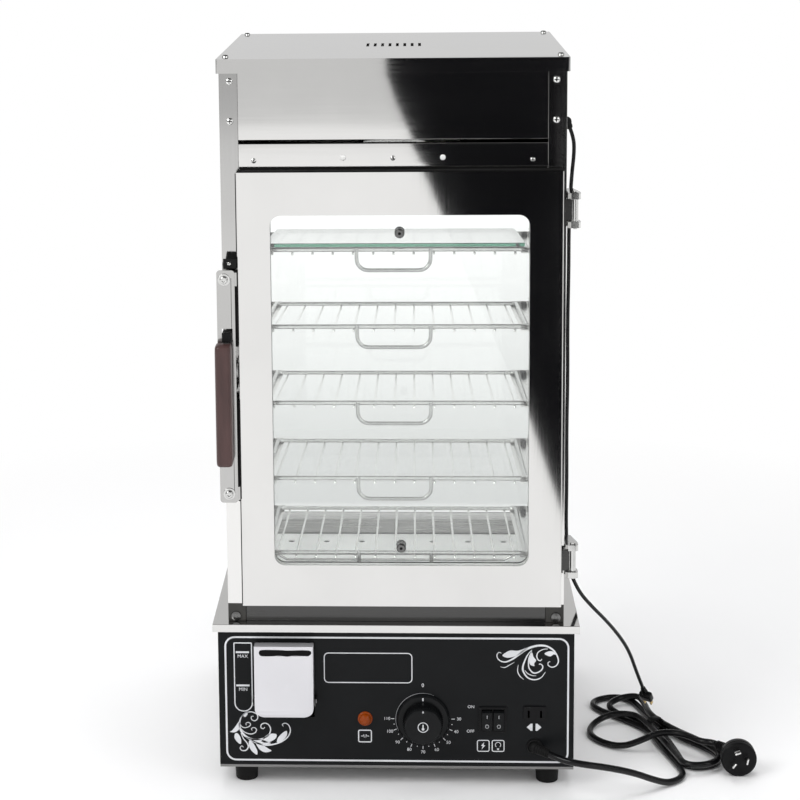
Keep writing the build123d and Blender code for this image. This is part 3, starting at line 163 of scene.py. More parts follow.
class Finish(Graph):
    """A material under construction. Every pattern reads Object coordinates."""

    NAMES = {"color": "Base Color", "metal": "Metallic", "rough": "Roughness", "glass": "Transmission Weight",
             "ior": "IOR", "bump": "Normal", "specular": "Specular IOR Level"}

    def __init__(self, name="finish"):
        self.material = bpy.data.materials.new(name)
        self.material.use_nodes = True
        super().__init__(self.material.node_tree)
        self.shader = self.tree.nodes["Principled BSDF"]
        self.place = self.node("ShaderNodeTexCoord").outputs["Object"]

    def set(self, **values):
        for key, value in values.items():
            self.feed(self.shader.inputs[self.NAMES[key]], value)
        return self.material

    def surface(self, shader):
        self.feed(self.tree.nodes["Material Output"].inputs["Surface"], shader)
        return self.material

    def noise(self, scale, stretch=(1, 1, 1), detail=3.0):
        place = self.node("ShaderNodeMapping", {"Vector": self.place, "Scale": stretch}).outputs[0]
        given = {"Vector": place, "Scale": scale, "Detail": detail, "Roughness": 0.55}
        return self.node("ShaderNodeTexNoise", given).outputs["Fac"]

    def blend(self, factor, first, second):
        made = self.node("ShaderNodeMix", {"Factor": factor}, data_type="RGBA")
        for socket, color in ((made.inputs[6], first), (made.inputs[7], second)):
            self.feed(socket, color if isinstance(color, bpy.types.NodeSocket) else (*color[:3], 1.0))
        return made.outputs[2]

    def drift(self, pattern, color, low, high):
        """The colour, darker and lighter by these factors with the pattern."""
        return self.blend(self.span(pattern, 0, 1), shade(color, low), shade(color, high))

    def bump(self, height, depth, **over):
        return self.node("ShaderNodeBump", {"Height": height, "Distance": depth, **over}).outputs[0]


def shade(color, factor):
    return tuple(min(1.0, max(0.0, c * factor)) for c in color[:3])


def steel(along, tone=1.0, rough=(0.055, 0.09), streak=0.0000012, wave=0.0005, foot=None):
    """Bright rolled sheet: faint lines along one axis, slow waves that bend its reflections and wiping marks.

    foot gives the tone that the sheet takes towards the floor, a painted reflection of the bright floor that lightens
    the sheet's lower part.
    """
    look = Finish()
    lines = look.noise(1.0, [9.0 if axis == along else 700.0 for axis in "XYZ"], 2.0)
    cloud = look.noise(9.0, detail=4.0)
    waves = look.noise(5.0, detail=1.0)
    color = look.drift(cloud, shade(colours().steel, tone), 0.97, 1.03)
    # Painted reflection of the floor: below 0.62 m the colour fades to the foot tone, fully at 0.3 m.
    if foot:
        height = look.parts(look.place)["Z"]
        color = look.blend(look.span(height, 0, 1, 0.62, 0.3), color, shade(colours().steel, foot))
    mixed = look.math("ADD", lines, cloud)
    return look.set(color=color, metal=1.0, rough=look.span(mixed, *rough, 0.7, 1.3),
                    bump=look.bump(lines, streak, Normal=look.bump(waves, wave)))


def plated(tone=0.78, rough=(0.07, 0.16), scale=160.0):
    """Bright plating with a slight orange peel and dull spots."""
    look = Finish()
    fine, wide = look.noise(scale, detail=4.0), look.noise(35.0)
    return look.set(color=look.drift(wide, (tone, tone, tone * 0.985), 0.93, 1.04), metal=1.0,
                    rough=look.span(wide, *rough), bump=look.bump(fine, 0.00002))


def moulded(color, rough=(0.3, 0.42), grain=0.00003, scale=900.0, sheen=0.5, drift=0.1):
    """Moulded plastic or rubber: a fine tool texture, slight colour drift and handled patches."""
    look = Finish()
    fine, wide = look.noise(scale, detail=2.0), look.noise(28.0, detail=4.0)
    return look.set(color=look.drift(wide, color, 1 - drift, 1 + drift), rough=look.span(wide, *rough),
                    bump=look.bump(fine, grain), specular=sheen)


def pane(color, ior=1.45, haze=(0.0, 0.015), low_tint=None):
    """Clear glass that lets the lamps through to what is behind it, with faint wiping haze.

    low_tint gives a darker tint that starts just above the pane's foot and fades upwards.
    """
    look = Finish()
    wide = look.noise(7.0, (1, 1, 0.4), 5.0)
    clear_color = (*color, 1.0)
    if low_tint:
        height = look.parts(look.place)["Z"]
        tinted = look.blend(look.span(height, 1, 0, 0.28, 0.6), color, low_tint)
        clear_color = look.blend(look.span(height, 0, 1, 0.2, 0.212), color, tinted)
    look.set(color=clear_color, glass=1.0, ior=ior, rough=look.span(wide, *haze, 0.5, 0.75))
    clear = look.node("ShaderNodeBsdfTransparent", {"Color": (0.94, 0.95, 0.945, 1)}).outputs[0]
    shadow = look.node("ShaderNodeLightPath").outputs["Is Shadow Ray"]
    return look.surface(look.mix(shadow, look.shader.outputs[0], clear))


def brass():
    look = Finish()
    wide = look.noise(60.0)
    return look.set(color=look.blend(look.span(wide, 0, 1), (0.52, 0.36, 0.13), (0.68, 0.5, 0.22)), metal=1.0,
                    rough=look.span(wide, 0.22, 0.4), bump=look.bump(wide, 0.00003))


def bakelite(color):
    """Brown thermoset with long flow marks and a worn sheen."""
    look = Finish()
    flow, fine = look.noise(60.0, (1, 1, 0.12), 5.0), look.noise(700.0)
    return look.set(color=look.drift(flow, color, 0.7, 1.45), rough=look.span(flow, 0.28, 0.42),
                    bump=look.bump(fine, 0.00002), specular=0.35)


MATERIALS = {}


def make_materials():
    """Every finish of the steamer, by name."""
    c = colours()
    MATERIALS.update({
        "steel_across": steel("X"),
        "steel_upright": steel("Z"),
        # The posts take the painted floor reflection and turn lighter towards their foot.
        "steel_post": steel("Z", 0.7, (0.07, 0.12), foot=1.12),
        "steel_dull": steel("X", 0.6, (0.22, 0.3), 0.0, 0.0),
        # Steel with painted shade: a much darker copy of the sheet steel.
        "steel_dark": steel("X", 0.12, (0.12, 0.3), 0.000004, 0.004),
        # Steel with lighter painted shade, for the front panel's strip that faces the front.
        "steel_low": steel("X", 0.36, (0.15, 0.25)),
        # A pale matt colour for the steel steam plate: painted light that stands for its bright reflection.
        "plate_pale": moulded((0.9, 0.9, 0.89), (0.3, 0.4), 0.00001, 500.0, drift=0.01),
        "rack_steel": steel("Y", 1.3, (0.16, 0.24), 0.0),
        "steel_satin": steel("Z", 0.7, (0.1, 0.18)),
        "polished": plated(),
        "hinge_steel": plated(0.62, (0.08, 0.16), 90.0),
        # Lighter and darker copies of the rack wire's plating: painted light on the cross wires, painted shade on the
        # handles.
        "wire_light": plated(0.95, (0.1, 0.18), 260.0),
        "wire_dark": plated(0.46, (0.1, 0.18), 260.0),
        "dark_bolt": plated(0.16, (0.16, 0.26)),
        "wire": plated(0.62, (0.1, 0.18), 260.0),
        "brass": brass(),
        "overlay": moulded(c.overlay, (0.28, 0.34), 0.000002, 400.0, 0.12),
        "ink": moulded(c.ink, (0.4, 0.5), 0.000004, 700.0, 0.2),
        # Grey ink for the rockers' marks, also used for a painted highlight along the dial skirt's edge.
        "ink_dim": moulded(shade(c.ink, 0.5), (0.4, 0.5), 0.000004, 700.0, 0.2),
        "black_gloss": moulded((0.0055, 0.006, 0.0065), (0.18, 0.26), 0.000004, 600.0, 0.16),
        "black_matt": moulded((0.005, 0.005, 0.0055), (0.36, 0.5), 0.00002, sheen=0.14),
        "rubber": moulded((0.007, 0.007, 0.007), (0.5, 0.65), 0.00003, 1100.0, 0.15),
        "block": moulded((0.03, 0.029, 0.026), (0.3, 0.5), 0.0004, 160.0, 0.4, 0.5),
        # Black that paints shadow: in gaps, behind the filler's slot, in screw recesses and along the channel's bend.
        "seal_black": moulded((0.005, 0.005, 0.005), (0.6, 0.8), 0.00005, sheen=0.1),
        "seal_pale": moulded((0.55, 0.55, 0.54), (0.4, 0.55), 0.00003, 500.0),
        "sheath": moulded((0.004, 0.004, 0.0045), (0.2, 0.3), 0.000006, 500.0, 0.3),
        "filler_white": moulded(c.filler, (0.3, 0.38), 0.000006, 420.0, drift=0.015),
        # The filler's white darkened as painted shade, for its sides and top.
        "filler_shade": moulded(shade(c.filler, 0.4), (0.3, 0.4), 0.000006, 420.0, drift=0.05),
        "nylon": moulded((0.84, 0.84, 0.82), (0.35, 0.5), 0.00001, 500.0, drift=0.03),
        "ceramic": moulded((0.76, 0.74, 0.69), (0.3, 0.5), 0.00005, 300.0),
        "control_body": moulded((0.06, 0.04, 0.03), (0.4, 0.55), 0.00005, 300.0),
        "heater_sheath": steel("X", 0.5, (0.35, 0.5)),
        "lens": moulded(c.lens, (0.08, 0.14), 0.00001, 300.0, 0.25, 0.35),
        "grip": bakelite(c.grip),
        "glass": pane((0.985, 0.995, 0.99)),
        "glass_steamed": pane((0.985, 0.99, 0.985), low_tint=(0.6, 0.61, 0.605)),
        "glass_edge": pane((0.12, 0.4, 0.27), 1.5, (0.02, 0.08)),
        "lamp_glass": pane((0.97, 0.975, 0.96), 1.45, (0.05, 0.12)),
        "bulb": pane((0.99, 0.98, 0.95), 1.45, (0.0, 0.04)),
    })
    for name, material in MATERIALS.items():
        material.name = name


# Objects and meshes. Shapes are drawn in millimetres and put in place by a matrix

def linked(name, data):
    """A new object in the scene."""
    made = bpy.data.objects.new(name, data)
    bpy.context.scene.collection.objects.link(made)
    return made


def mesh_of(name, bm):
    mesh = bpy.data.meshes.new(name)
    bm.to_mesh(mesh)
    bm.free()
    return mesh


def evaluated(thing):
    """A plain mesh of the object with its modifiers."""
    bpy.context.view_layer.update()
    return bpy.data.meshes.new_from_object(thing.evaluated_get(bpy.context.evaluated_depsgraph_get()))


def turned(degrees, axis):
    return Matrix.Rotation(math.radians(degrees), 4, axis)


def heading(direction):
    """Turns local +Z to a direction."""
    return Vector(direction).to_track_quat("Z", "Y").to_matrix().to_4x4()


def spot(x=0, y=0, z=0, turn=None):
    """A matrix that takes millimetres about a place to the part's own metres."""
    return Matrix.Translation(at(x, y, z)) @ (turn or Matrix()) @ Matrix.Scale(MM, 4)


TO_METRES = Matrix.Scale(MM, 4)
TO_MILLIMETRES = Matrix.Scale(1 / MM, 4)
FACING_FRONT = turned(90, "X")


def unit(angle):
    return math.cos(math.radians(angle)), math.sin(math.radians(angle))


def arc(x, z, radius, angles, high=None):
    """Points about a centre. high gives another radius upwards."""
    return [(x + radius * c, z + (high or radius) * s) for c, s in map(unit, angles)]


def rounded_frame(x0, x1, z0, z1, radius, steps=8, lower=None):
    """Points of a rounded rectangle. lower gives the radius of its two lower corners."""
    low = lower or radius
    points = []
    for x, z, r, start in ((x1 - low, z0 + low, low, -90), (x1 - radius, z1 - radius, radius, 0),
                           (x0 + radius, z1 - radius, radius, 90), (x0 + low, z0 + low, low, 180)):
        points += arc(x, z, r, [start + 90 * i / steps for i in range(steps + 1)])
    return points


def smooth_loop(points, steps, closed=True):
    """Points of a smooth curve through the given ones."""
    points = [Vector(p) for p in points]
    count = len(points)
    made = []
    for i in range(count if closed else count - 1):
        near = [(i + k) % count if closed else min(max(i + k, 0), count - 1) for k in (-1, 0, 1, 2)]
        a, b, c, d = (points[k] for k in near)
        for s in range(steps):
            t = s / steps
            made.append(0.5 * ((2 * b) + (c - a) * t + (2 * a - 5 * b + 4 * c - d) * t * t
                               + (3 * b - a - 3 * c + d) * t ** 3))
    return made if closed else made + [points[-1]]


def bent(points, radius, steps=6):
    """A bar's centre line with round bends, for the rack bars and handles."""
    path = [Vector(points[0])]
    for before, corner, after in zip(points, points[1:], points[2:]):
        corner = Vector(corner)
        first, second = (Vector(before) - corner).normalized(), (Vector(after) - corner).normalized()
        half = first.angle(second) / 2
        reach = radius / math.tan(half)
        centre = corner + (first + second).normalized() * radius / math.sin(half)
        start, end = corner + first * reach - centre, corner + second * reach - centre
        for i in range(steps + 1):
            path.append(centre + start.normalized().slerp(end.normalized(), i / steps) * radius)
    path.append(Vector(points[-1]))
    return path


def bridge(bm, rings, closed=False, caps=False):
    """Joins rings of vertices that follow each other. A ring may be a single point."""
    for low, high in zip(rings, rings[1:] + (rings[:1] if closed else [])):
        steps = max(len(low), len(high))
        for i in range(steps):
            j = (i + 1) % steps
            corners = [low[i % len(low)], low[j % len(low)], high[j % len(high)], high[i % len(high)]]
            unique = list(dict.fromkeys(corners))
            if len(unique) > 2:
                bm.faces.new(unique)
    if caps:
        bm.faces.new(list(reversed(rings[0])))
        bm.faces.new(rings[-1])


def lathe(bm, profile, place, steps=48):
    """A turned shape from (radius, height) points, closed where it meets the axis."""
    bm = bm or bmesh.new()
    rings = []
    for radius, height in profile:
        turns = [2 * math.pi * i / steps for i in range(steps)] if radius > 1e-6 else [0]
        rings.append([bm.verts.new(place @ Vector((radius * math.cos(a), radius * math.sin(a), height)))
                      for a in turns])
    bridge(bm, rings)
    return bm


def pipe(bm, path, radius, place, sides=12, closed=False, flat=None):
    """A round bar along a path. flat gives the half sizes of a strap instead."""
    count = len(path)
    wide, high = flat or (radius, radius)
    rings = []
    side = None
    for i, point in enumerate(path):
        after = path[(i + 1) % count] if closed else path[min(i + 1, count - 1)]
        before = path[i - 1] if closed else path[max(i - 1, 0)]
        way = (after - before).normalized()
        if side is None:
            side = way.orthogonal().normalized() if flat is None else Vector((0, 0, 1)).cross(way)
            if side.length < 0.1:
                side = Vector((1, 0, 0))
        side = (side - way * side.dot(way)).normalized()
        up = way.cross(side)
        ring = []
        for k in range(sides):
            c, s = unit(360 * k / sides)
            if flat:
                c, s = (math.copysign(abs(value) ** 0.35, value) for value in (c, s))
            ring.append(bm.verts.new(place @ (point + side * c * wide + up * s * high)))
        rings.append(ring)
    bridge(bm, rings, closed, not closed)


def box(bm, x0, x1, y0, y1, z0, z1, place=None, edge=0.0, segments=3):
    """A block with rounded edges."""
    verts = bmesh.ops.create_cube(bm, size=1.0)["verts"]
    low, high = Vector((x0, y0, z0)), Vector((x1, y1, z1))
    for v in verts:
        v.co = (low + high) / 2 + v.co * (high - low)
    if edge:
        edges = list({e for v in verts for e in v.link_edges})
        made = bmesh.ops.bevel(bm, geom=edges, offset=edge, segments=segments, profile=0.5, affect="EDGES",
                               clamp_overlap=True)
        verts = list({v for f in made["faces"] for v in f.verts} | {v for v in verts if v.is_valid})
    for v in verts:
        v.co = (place or spot()) @ v.co


def into(bm, mesh, place=None, slot=0):
    """Adds a mesh to a bmesh, moved by a matrix, with its faces in one material slot."""
    known = len(bm.faces)
    if place is not None:
        mesh.transform(place)
    bm.from_mesh(mesh)
    bpy.data.meshes.remove(mesh)
    give_slot(bm, known, slot)


def give_slot(bm, known, slot):
    """Puts the faces after the known ones in a material slot."""
    bm.faces.ensure_lookup_table()
    for face in bm.faces[known:]:
        face.material_index = slot


def clean_copy(node):
    """A CAD node's mesh with its loose triangles merged and its flat faces made whole."""
    bm = bmesh.new()
    bm.from_mesh(NODES[node].data)
    bmesh.ops.remove_doubles(bm, verts=bm.verts, dist=2e-6)
    bmesh.ops.dissolve_limit(bm, angle_limit=math.radians(0.4), verts=bm.verts, edges=bm.edges)
    return bm


SHARP_FROM = math.radians(35)


def round_edges(bm, width, shortest=0.002, segments=2):
    """Rounds the sharp edges that are longer than the shortest."""
    sharp = [e for e in bm.edges if len(e.link_faces) == 2 and e.calc_face_angle(0) > SHARP_FROM
             and e.calc_length() > shortest]
    bmesh.ops.bevel(bm, geom=sharp, offset=width, segments=segments, profile=0.5, affect="EDGES",
                    clamp_overlap=True)


def finished(name, bm, material, body, replaces=(), sharp=40, weighted=False):
    """Turns a bmesh into a piece that rides on its body."""
    mesh = mesh_of(name, bm)
    mesh.shade_smooth()
    mesh.set_sharp_from_angle(angle=math.radians(sharp))
    piece = linked(name, mesh)
    for entry in material if isinstance(material, list) else [material]:
        mesh.materials.append(MATERIALS[entry])
    if weighted:
        even = piece.modifiers.new("even", "WEIGHTED_NORMAL")
        even.keep_sharp = True
        even.weight = 100
        made = evaluated(piece)
        piece.modifiers.clear()
        piece.data = made
    return dress(piece, body, replaces)


def dress(piece, body, replaces=()):
    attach(piece, body)
    if replaces:
        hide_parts(*replaces)
    return piece


def sheet_copy(node, material, edge=None, shortest=0.002, segments=2, sharp=40):
    """A CAD node again, with its edges rounded as a press brake or a mould leaves them."""
    bm = clean_copy(node)
    round_edges(bm, edge or sizes().sheet_edge, shortest, segments)
    return finished(node + "_finished", bm, material, BODY_OF[node], [node], sharp=sharp, weighted=True)


def paint(piece, choose):
    """Gives each face the material slot that choose says."""
    for face in piece.data.polygons:
        face.material_index = int(choose(face))


def colour_node(node, material):
    NODES[node].data.materials.clear()
    NODES[node].data.materials.append(MATERIALS[material])


# Geometry Nodes: what repeats

def repeat_tree(layout):
    """A tree that sets an item along a row, round a ring, or at a mesh's vertices by their turn and size."""
    tree = bpy.data.node_groups.new("repeat_" + layout, "GeometryNodeTree")
    tree.interface.new_socket("Geometry", in_out="OUTPUT", socket_type="NodeSocketGeometry")
    for label, kind in (("Spots", "Geometry"), ("Item", "Object"), ("Count", "Int"), ("Size", "Float"),
                        ("Finish", "Material")):
        tree.interface.new_socket(label, in_out="INPUT", socket_type="NodeSocket" + kind)
    graph = Graph(tree)
    given = graph.node("NodeGroupInput").outputs
    count, size = given["Count"], given["Size"]
    if layout == "row":
        line = graph.node("GeometryNodeMeshLine", {"Count": count, "Offset": graph.whole(X=size)})
        places = {"Points": line.outputs[0]}
    elif layout == "ring":
        index = graph.node("GeometryNodeInputIndex").outputs[0]
        angle = graph.math("MULTIPLY", index, graph.math("DIVIDE", 2 * math.pi, count))
        places = {"Points": graph.node("GeometryNodePoints", {"Count": count}).outputs[0],
                  "Rotation": graph.whole(Z=angle), "Scale": graph.whole(X=size, Y=size, Z=size)}
    else:
        turn, own = (graph.node("GeometryNodeInputNamedAttribute", {"Name": label}, data_type=kind).outputs[0]
                     for label, kind in (("turn", "FLOAT_VECTOR"), ("size", "FLOAT")))
        scale = graph.math("MULTIPLY", own, size)
        places = {"Points": given["Spots"], "Rotation": turn, "Scale": graph.whole(X=scale, Y=scale, Z=scale)}
    item = graph.node("GeometryNodeObjectInfo", {"Object": given["Item"]}, transform_space="ORIGINAL")
    places["Instance"] = item.outputs["Geometry"]
    spread = graph.node("GeometryNodeInstanceOnPoints", places).outputs[0]
    real = graph.node("GeometryNodeRealizeInstances", {0: spread}).outputs[0]
    painted = graph.node("GeometryNodeSetMaterial", {"Geometry": real, "Material": given["Finish"]}).outputs[0]
    graph.node("NodeGroupOutput", {0: painted})
    return tree


def grown(tree, shape, look, base=None, **inputs):
    """The tree's result for an item's shape as a plain mesh. The helper objects go."""
    item = linked("item", mesh_of("item", shape))
    base = base or linked("base", bpy.data.meshes.new("base"))
    grow = base.modifiers.new("grow", "NODES")
    grow.node_group = tree
    known = {s.name: s.identifier for s in tree.interface.items_tree if s.in_out == "INPUT"}
    for label, value in {"Size": 1.0, **inputs, "Finish": MATERIALS[look], "Item": item}.items():
        grow[known[label]] = value
    made = evaluated(base)
    bpy.data.objects.remove(base)
    bpy.data.objects.remove(item)
    return made


TURNS = {"front": (math.radians(90), 0, 0), "up": (0, 0, 0), "down": (math.pi, 0, 0)}


def at_spots(places, shapes):
    """Sets every shape at (x, y, z, way, size) places. Each shape's faces take the next material slot."""
    tree = repeat_tree("spots")
    bm = bmesh.new()
    for slot, (shape, look) in enumerate(shapes):
        mesh = bpy.data.meshes.new("spots")
        mesh.from_pydata([at(*place[:3]) for place in places], [], [])
        turn = mesh.attributes.new("turn", "FLOAT_VECTOR", "POINT")
        for place, entry in zip(places, turn.data):
            entry.vector = TURNS[place[3]]
        size = mesh.attributes.new("size", "FLOAT", "POINT")
        for place, entry in zip(places, size.data):
            entry.value = place[4]
        into(bm, grown(tree, shape, look, linked("spots", mesh)), slot=slot)
    return bm


# Camera

FOCAL_PIXELS = 2125.0
PICTURE = 800.0
OPTIC_CENTRE = (313.7, 204.4)
CAMERA_PLACE = (21.2, -2131.7, 962.8)
CAMERA_TURN, CAMERA_PITCH, CAMERA_ROLL = 2.733, -8.931, 0.66


def set_camera():
    look = turned(CAMERA_TURN, "Z") @ turned(CAMERA_PITCH, "X") @ turned(CAMERA_ROLL, "Y")
    right, forward, up = (look.to_3x3() @ Vector(axis) for axis in ((1, 0, 0), (0, 1, 0), (0, 0, 1)))
    data = bpy.data.cameras.new("photo_camera")
    data.sensor_width = 36.0
    data.lens = FOCAL_PIXELS * data.sensor_width / PICTURE
    data.shift_x = (PICTURE / 2 - OPTIC_CENTRE[0]) / PICTURE
    data.shift_y = (OPTIC_CENTRE[1] - PICTURE / 2) / PICTURE
    data.clip_start, data.clip_end = 0.05, 50.0
    camera = linked("photo_camera", data)
    facing = Matrix((right, up, -forward)).transposed().to_4x4()
    camera.matrix_world = Matrix.Translation(at(*CAMERA_PLACE)) @ facing
    bpy.context.scene.camera = camera


# Cords: the same routes as the part's source

LAMP_ROUTE = [
    (5.6, 50.4, 698.0), (9.6, 51.5, 688.0), (10.4, 53.0, 672.0), (8.0, 55.0, 648.0), (5.6, 56.0, 599.8),
    (6.0, 58.5, 544.9), (5.3, 60.0, 489.9), (6.0, 61.0, 431.8), (5.4, 64.0, 374.2), (6.1, 65.0, 318.2),
    (5.8, 69.0, 264.3), (8.6, 72.0, 221.9), (20.0, 79.0, 192.0), (36.5, 93.0, 169.0), (53.5, 113.0, 146.5),
    (70.5, 135.0, 120.5), (83.5, 152.0, 96.0), (93.5, 165.0, 66.0), (102.0, 177.0, 43.0),
]
MAINS_EXIT = (160.5, -12.3, 44.9)
MAINS_ROUTE = [
    (173.3, -24.4, 43.5), (194.1, -30.5, 42.0), (222.1, -25.0, 36.0), (249.1, -12.0, 25.0), (270.1, 0.0, 12.5),
    (286.1, 9.5, 4.6), (297.1, 18.0, 3.6),
]
CORD_LOW = 3.6
HANK_WAIST = (292.0, 156.0)
HANK_AXIS = 118.7
HANK_LAYER = 7.6
HANK_STEP = 8.3
HANK_ROUND = 12.0
WIDEST = 0.385
# Each half turn's length, half width, turn of its tip and shift of its tip
HANK_LOBES = ((104.0, 20.0, -2.0, -7.0), (112.0, 20.0, -6.0, 0.0), (85.0, 20.0, -3.0, 3.0),
              (123.0, 22.0, -11.0, 0.0))
HANK_REVERSE = 450
HANK_LAST = 700
HANK_CLIMB_LEAD, HANK_CLIMB_TURN = 62, 100
HANK_IN = [(303.5, 26.0), (307.0, 38.0), (302.5, 62.0), (295.0, 90.0), (288.0, 120.0)]
HANK_OUT = [
    (277.0, 171.0, 11.2), (258.0, 181.0, 11.6), (239.0, 179.5, 9.5), (221.0, 166.0, 5.0), (214.0, 141.0, 3.6),
    (226.0, 117.0, 3.6), (248.0, 102.0, 4.6), (269.0, 103.0, 12.0), (287.0, 107.0, 19.3), (305.0, 107.0, 20.0),
    (320.0, 98.0, 20.0), (330.0, 83.0, 20.0),
]
PLUG = (366.0, 36.0, 19.0)
PLUG_PINS = ((106, 70, 13.0), (226, 38, 13.0), (351, 11, 13.0))
NECK_TURN = 122.0
NECK_END = (348.5, 74.0, 20.0)


def hank_point(turn):
    """The tied hank's centre line, from the degrees turned since its first pass through the waist."""
    reach, half_width, tip_turn, shift = HANK_LOBES[int(turn // 180)]
    across, along = unit(turn)
    a = reach * along
    width = HANK_STEP * abs(turn - HANK_REVERSE) / 360 + half_width / WIDEST * along ** 2 + HANK_ROUND * along ** 6
    b = shift * along ** 2 - across * width
    ax, ay = unit(HANK_AXIS + tip_turn * along * along)
    climb = min(1.0, max(0.0, (turn - HANK_REVERSE + HANK_CLIMB_LEAD) / HANK_CLIMB_TURN))
    z = CORD_LOW + HANK_LAYER * climb * climb * (3 - 2 * climb)
    return at(HANK_WAIST[0] + a * ax + b * ay, HANK_WAIST[1] + a * ay - b * ax, z)


def cord_curve(name, points, diameter):
    """One smooth spline with the route's points as its control points."""
    curve = bpy.data.curves.new(name, "CURVE")
    curve.dimensions = "3D"
    curve.bevel_depth = diameter / 2
    curve.bevel_resolution = 4
    curve.resolution_u = 10
    curve.use_fill_caps = True
    spline = curve.splines.new("NURBS")
    spline.points.add(len(points) - 1)
    for given, point in zip(spline.points, points):
        given.co = (*point, 1.0)
    spline.order_u = 3
    spline.use_endpoint_u = True
    curve.materials.append(MATERIALS["sheath"])
    return linked(name, curve)


def lay_cords():
    plug, tie = mains_plug(), hank_tie()
    route = [at(*MAINS_EXIT)] + [at(*p) for p in MAINS_ROUTE] + [at(x, y, CORD_LOW) for x, y in HANK_IN]
    route += [hank_point(turn) for turn in range(0, HANK_LAST, 25)] + [at(*p) for p in HANK_OUT]
    ax, ay = unit(NECK_TURN)
    route += [at(NECK_END[0] + 7 * ax, NECK_END[1] + 7 * ay, NECK_END[2]), at(*NECK_END)]
    mains = cord_curve("mains_lead", route, sizes().mains_diameter)
    dress(mains, "cabinet", ["mains_cord_lead", "mains_cord_hank"])
    plug = lamp_plug()
    route = [at(CABINET_HALF + x, y, z) for x, y, z in LAMP_ROUTE]
    lamp = cord_curve("lamp_lead", route, sizes().lamp_diameter)
    dress(lamp, "cabinet", ["lamp_cord"])


def ribs(count, start, pitch, radius, grow, *corners):
    """A ribbed sleeve's profile. Each corner is a cut from a rib's radius and a rise from its lower edge."""
    return [(radius + i * grow - cut, start + i * pitch + rise) for i in range(count) for cut, rise in corners]


def mains_plug():
    """A flat round plug on its rim, with three flat pins and a ribbed neck."""
    x, y, z = PLUG
    bm = lathe(None, [(0, 0), (16.0, 0), (17.6, -0.4), (18.6, -1.4), (18.9, -2.8), (18.9, -6.2), (18.2, -6.8),
                      (18.2, -7.6), (18.9, -8.2), (18.7, -14.0), (17.0, -17.6), (14.0, -19.4), (9.0, -20.0),
                      (0, -20.0)], spot(x, y, z, FACING_FRONT), 64)
    for v in bm.verts:
        v.co.z = max(v.co.z, 0.00015)
    pins = bmesh.new()
    for angle, spin, reach in PLUG_PINS:
        dx, dz = unit(angle)
        place = spot(x - 1.2 + 8.2 * dx, y, z + 4.6 + 8.2 * dz, turned(spin, "Y"))
        box(bm, -1.6, 1.6, -0.7, 0.6, -3.9, 3.9, place, 0.5)
        box(pins, -0.9, 0.9, -reach, 1.0, -3.15, 3.15, place, 0.35, 2)
    ax, ay = unit(NECK_TURN)
    neck = [(0, -1.0), (4.3, -1.0), (4.7, -0.4),
            *ribs(5, 1.0, 3.2, 4.8, 0.42, (0, 0), (0, 1.6), (0.75, 1.9), (0.75, 2.9)),
            (7.0, 18.0), (7.4, 24.0), (0, 26.0)]
    lathe(bm, neck, spot(*NECK_END, heading((-ax, -ay, 0))), 28)
    body = finished("mains_plug_body", bm, "black_matt", "cabinet", ["mains_plug"], sharp=32)
    finished("mains_plug_pins", pins, "polished", "cabinet", sharp=50)
    return body


def hank_tie():
    """A soft band round the hank's waist, crossed on top."""
    bm = bmesh.new()
    place = spot(*HANK_WAIST, 0, turned(HANK_AXIS, "Z"))
    hull = [(14.9, 4.0), (13.2, 0.85), (2.0, 0.7), (-8.8, 0.85), (-10.9, 3.6), (-9.0, 9.0), (-6.2, 13.6),
            (-2.1, 15.9), (5.8, 15.9), (9.6, 13.8), (12.6, 9.0)]
    tail = [(1.2, -4.0, 16.2), (0.8, 2.0, 17.0), (0, 8.0, 16.4), (-1.2, 13.2, 12.4), (-2.4, 16.4, 7.0)]
    pipe(bm, smooth_loop([(0, y, z) for y, z in hull], 5), 0, place, 16, True, (4.4, 0.6))
    pipe(bm, smooth_loop(tail, 4, False), 0, place, 16, False, (3.6, 0.45))
    bmesh.ops.recalc_face_normals(bm, faces=bm.faces)
    return finished("hank_tie", bm, "black_matt", "cabinet", ["cord_tie"], sharp=60)


def lamp_plug():
    """A small two-pin plug with a ribbed sleeve."""
    before, start = (Vector(p) for p in LAMP_ROUTE[-2:])
    way = (start - before).normalized()
    side = Vector((way.y, -way.x, 0)).normalized()
    turn = Matrix((side, way.cross(side), way)).transposed().to_4x4()
    place = spot(CABINET_HALF + start.x, start.y, start.z, turn)
    bm = bmesh.new()
    box(bm, -7.5, 7.5, -4.0, 4.0, 8.2, 20.0, place, 2.6, 4)
    sleeve = [(0, -0.5), (2.7, -0.5), *ribs(4, 0.4, 2.0, 2.9, 0.32, (0, 0), (0, 1.1), (0.5, 1.3), (0.5, 1.9)),
              (4.0, 8.6), (0, 9.5)]
    lathe(bm, sleeve, place, 24)
    body = finished("lamp_plug_body", bm, "sheath", "cabinet", ["lamp_plug"], sharp=32)
    pins = bmesh.new()
    for x in (-4.0, 4.0):
        box(pins, x - 0.8, x + 0.8, -2.25, 2.25, 19.0, 26.0, place, 0.3, 2)
    finished("lamp_plug_pins", pins, "brass", "cabinet", sharp=50)
    return body


# Sheet steel, feet and glass

INNER_LOOKS = {
    # The steel steam plate takes a pale matt colour as painted light, in place of its bright reflection.
    "base_bottom_plate": "steel_dull", "water_tank": "steel_dull", "steam_plate": "plate_pale",
    "heating_element": "heater_sheath", "drain_pipe": "brass", "thermostat": "control_body",
    "indicator_body": "black_matt", "lamp_holder": "ceramic", "lamp_bulb": "bulb", "lamp_lens": "lamp_glass",
}


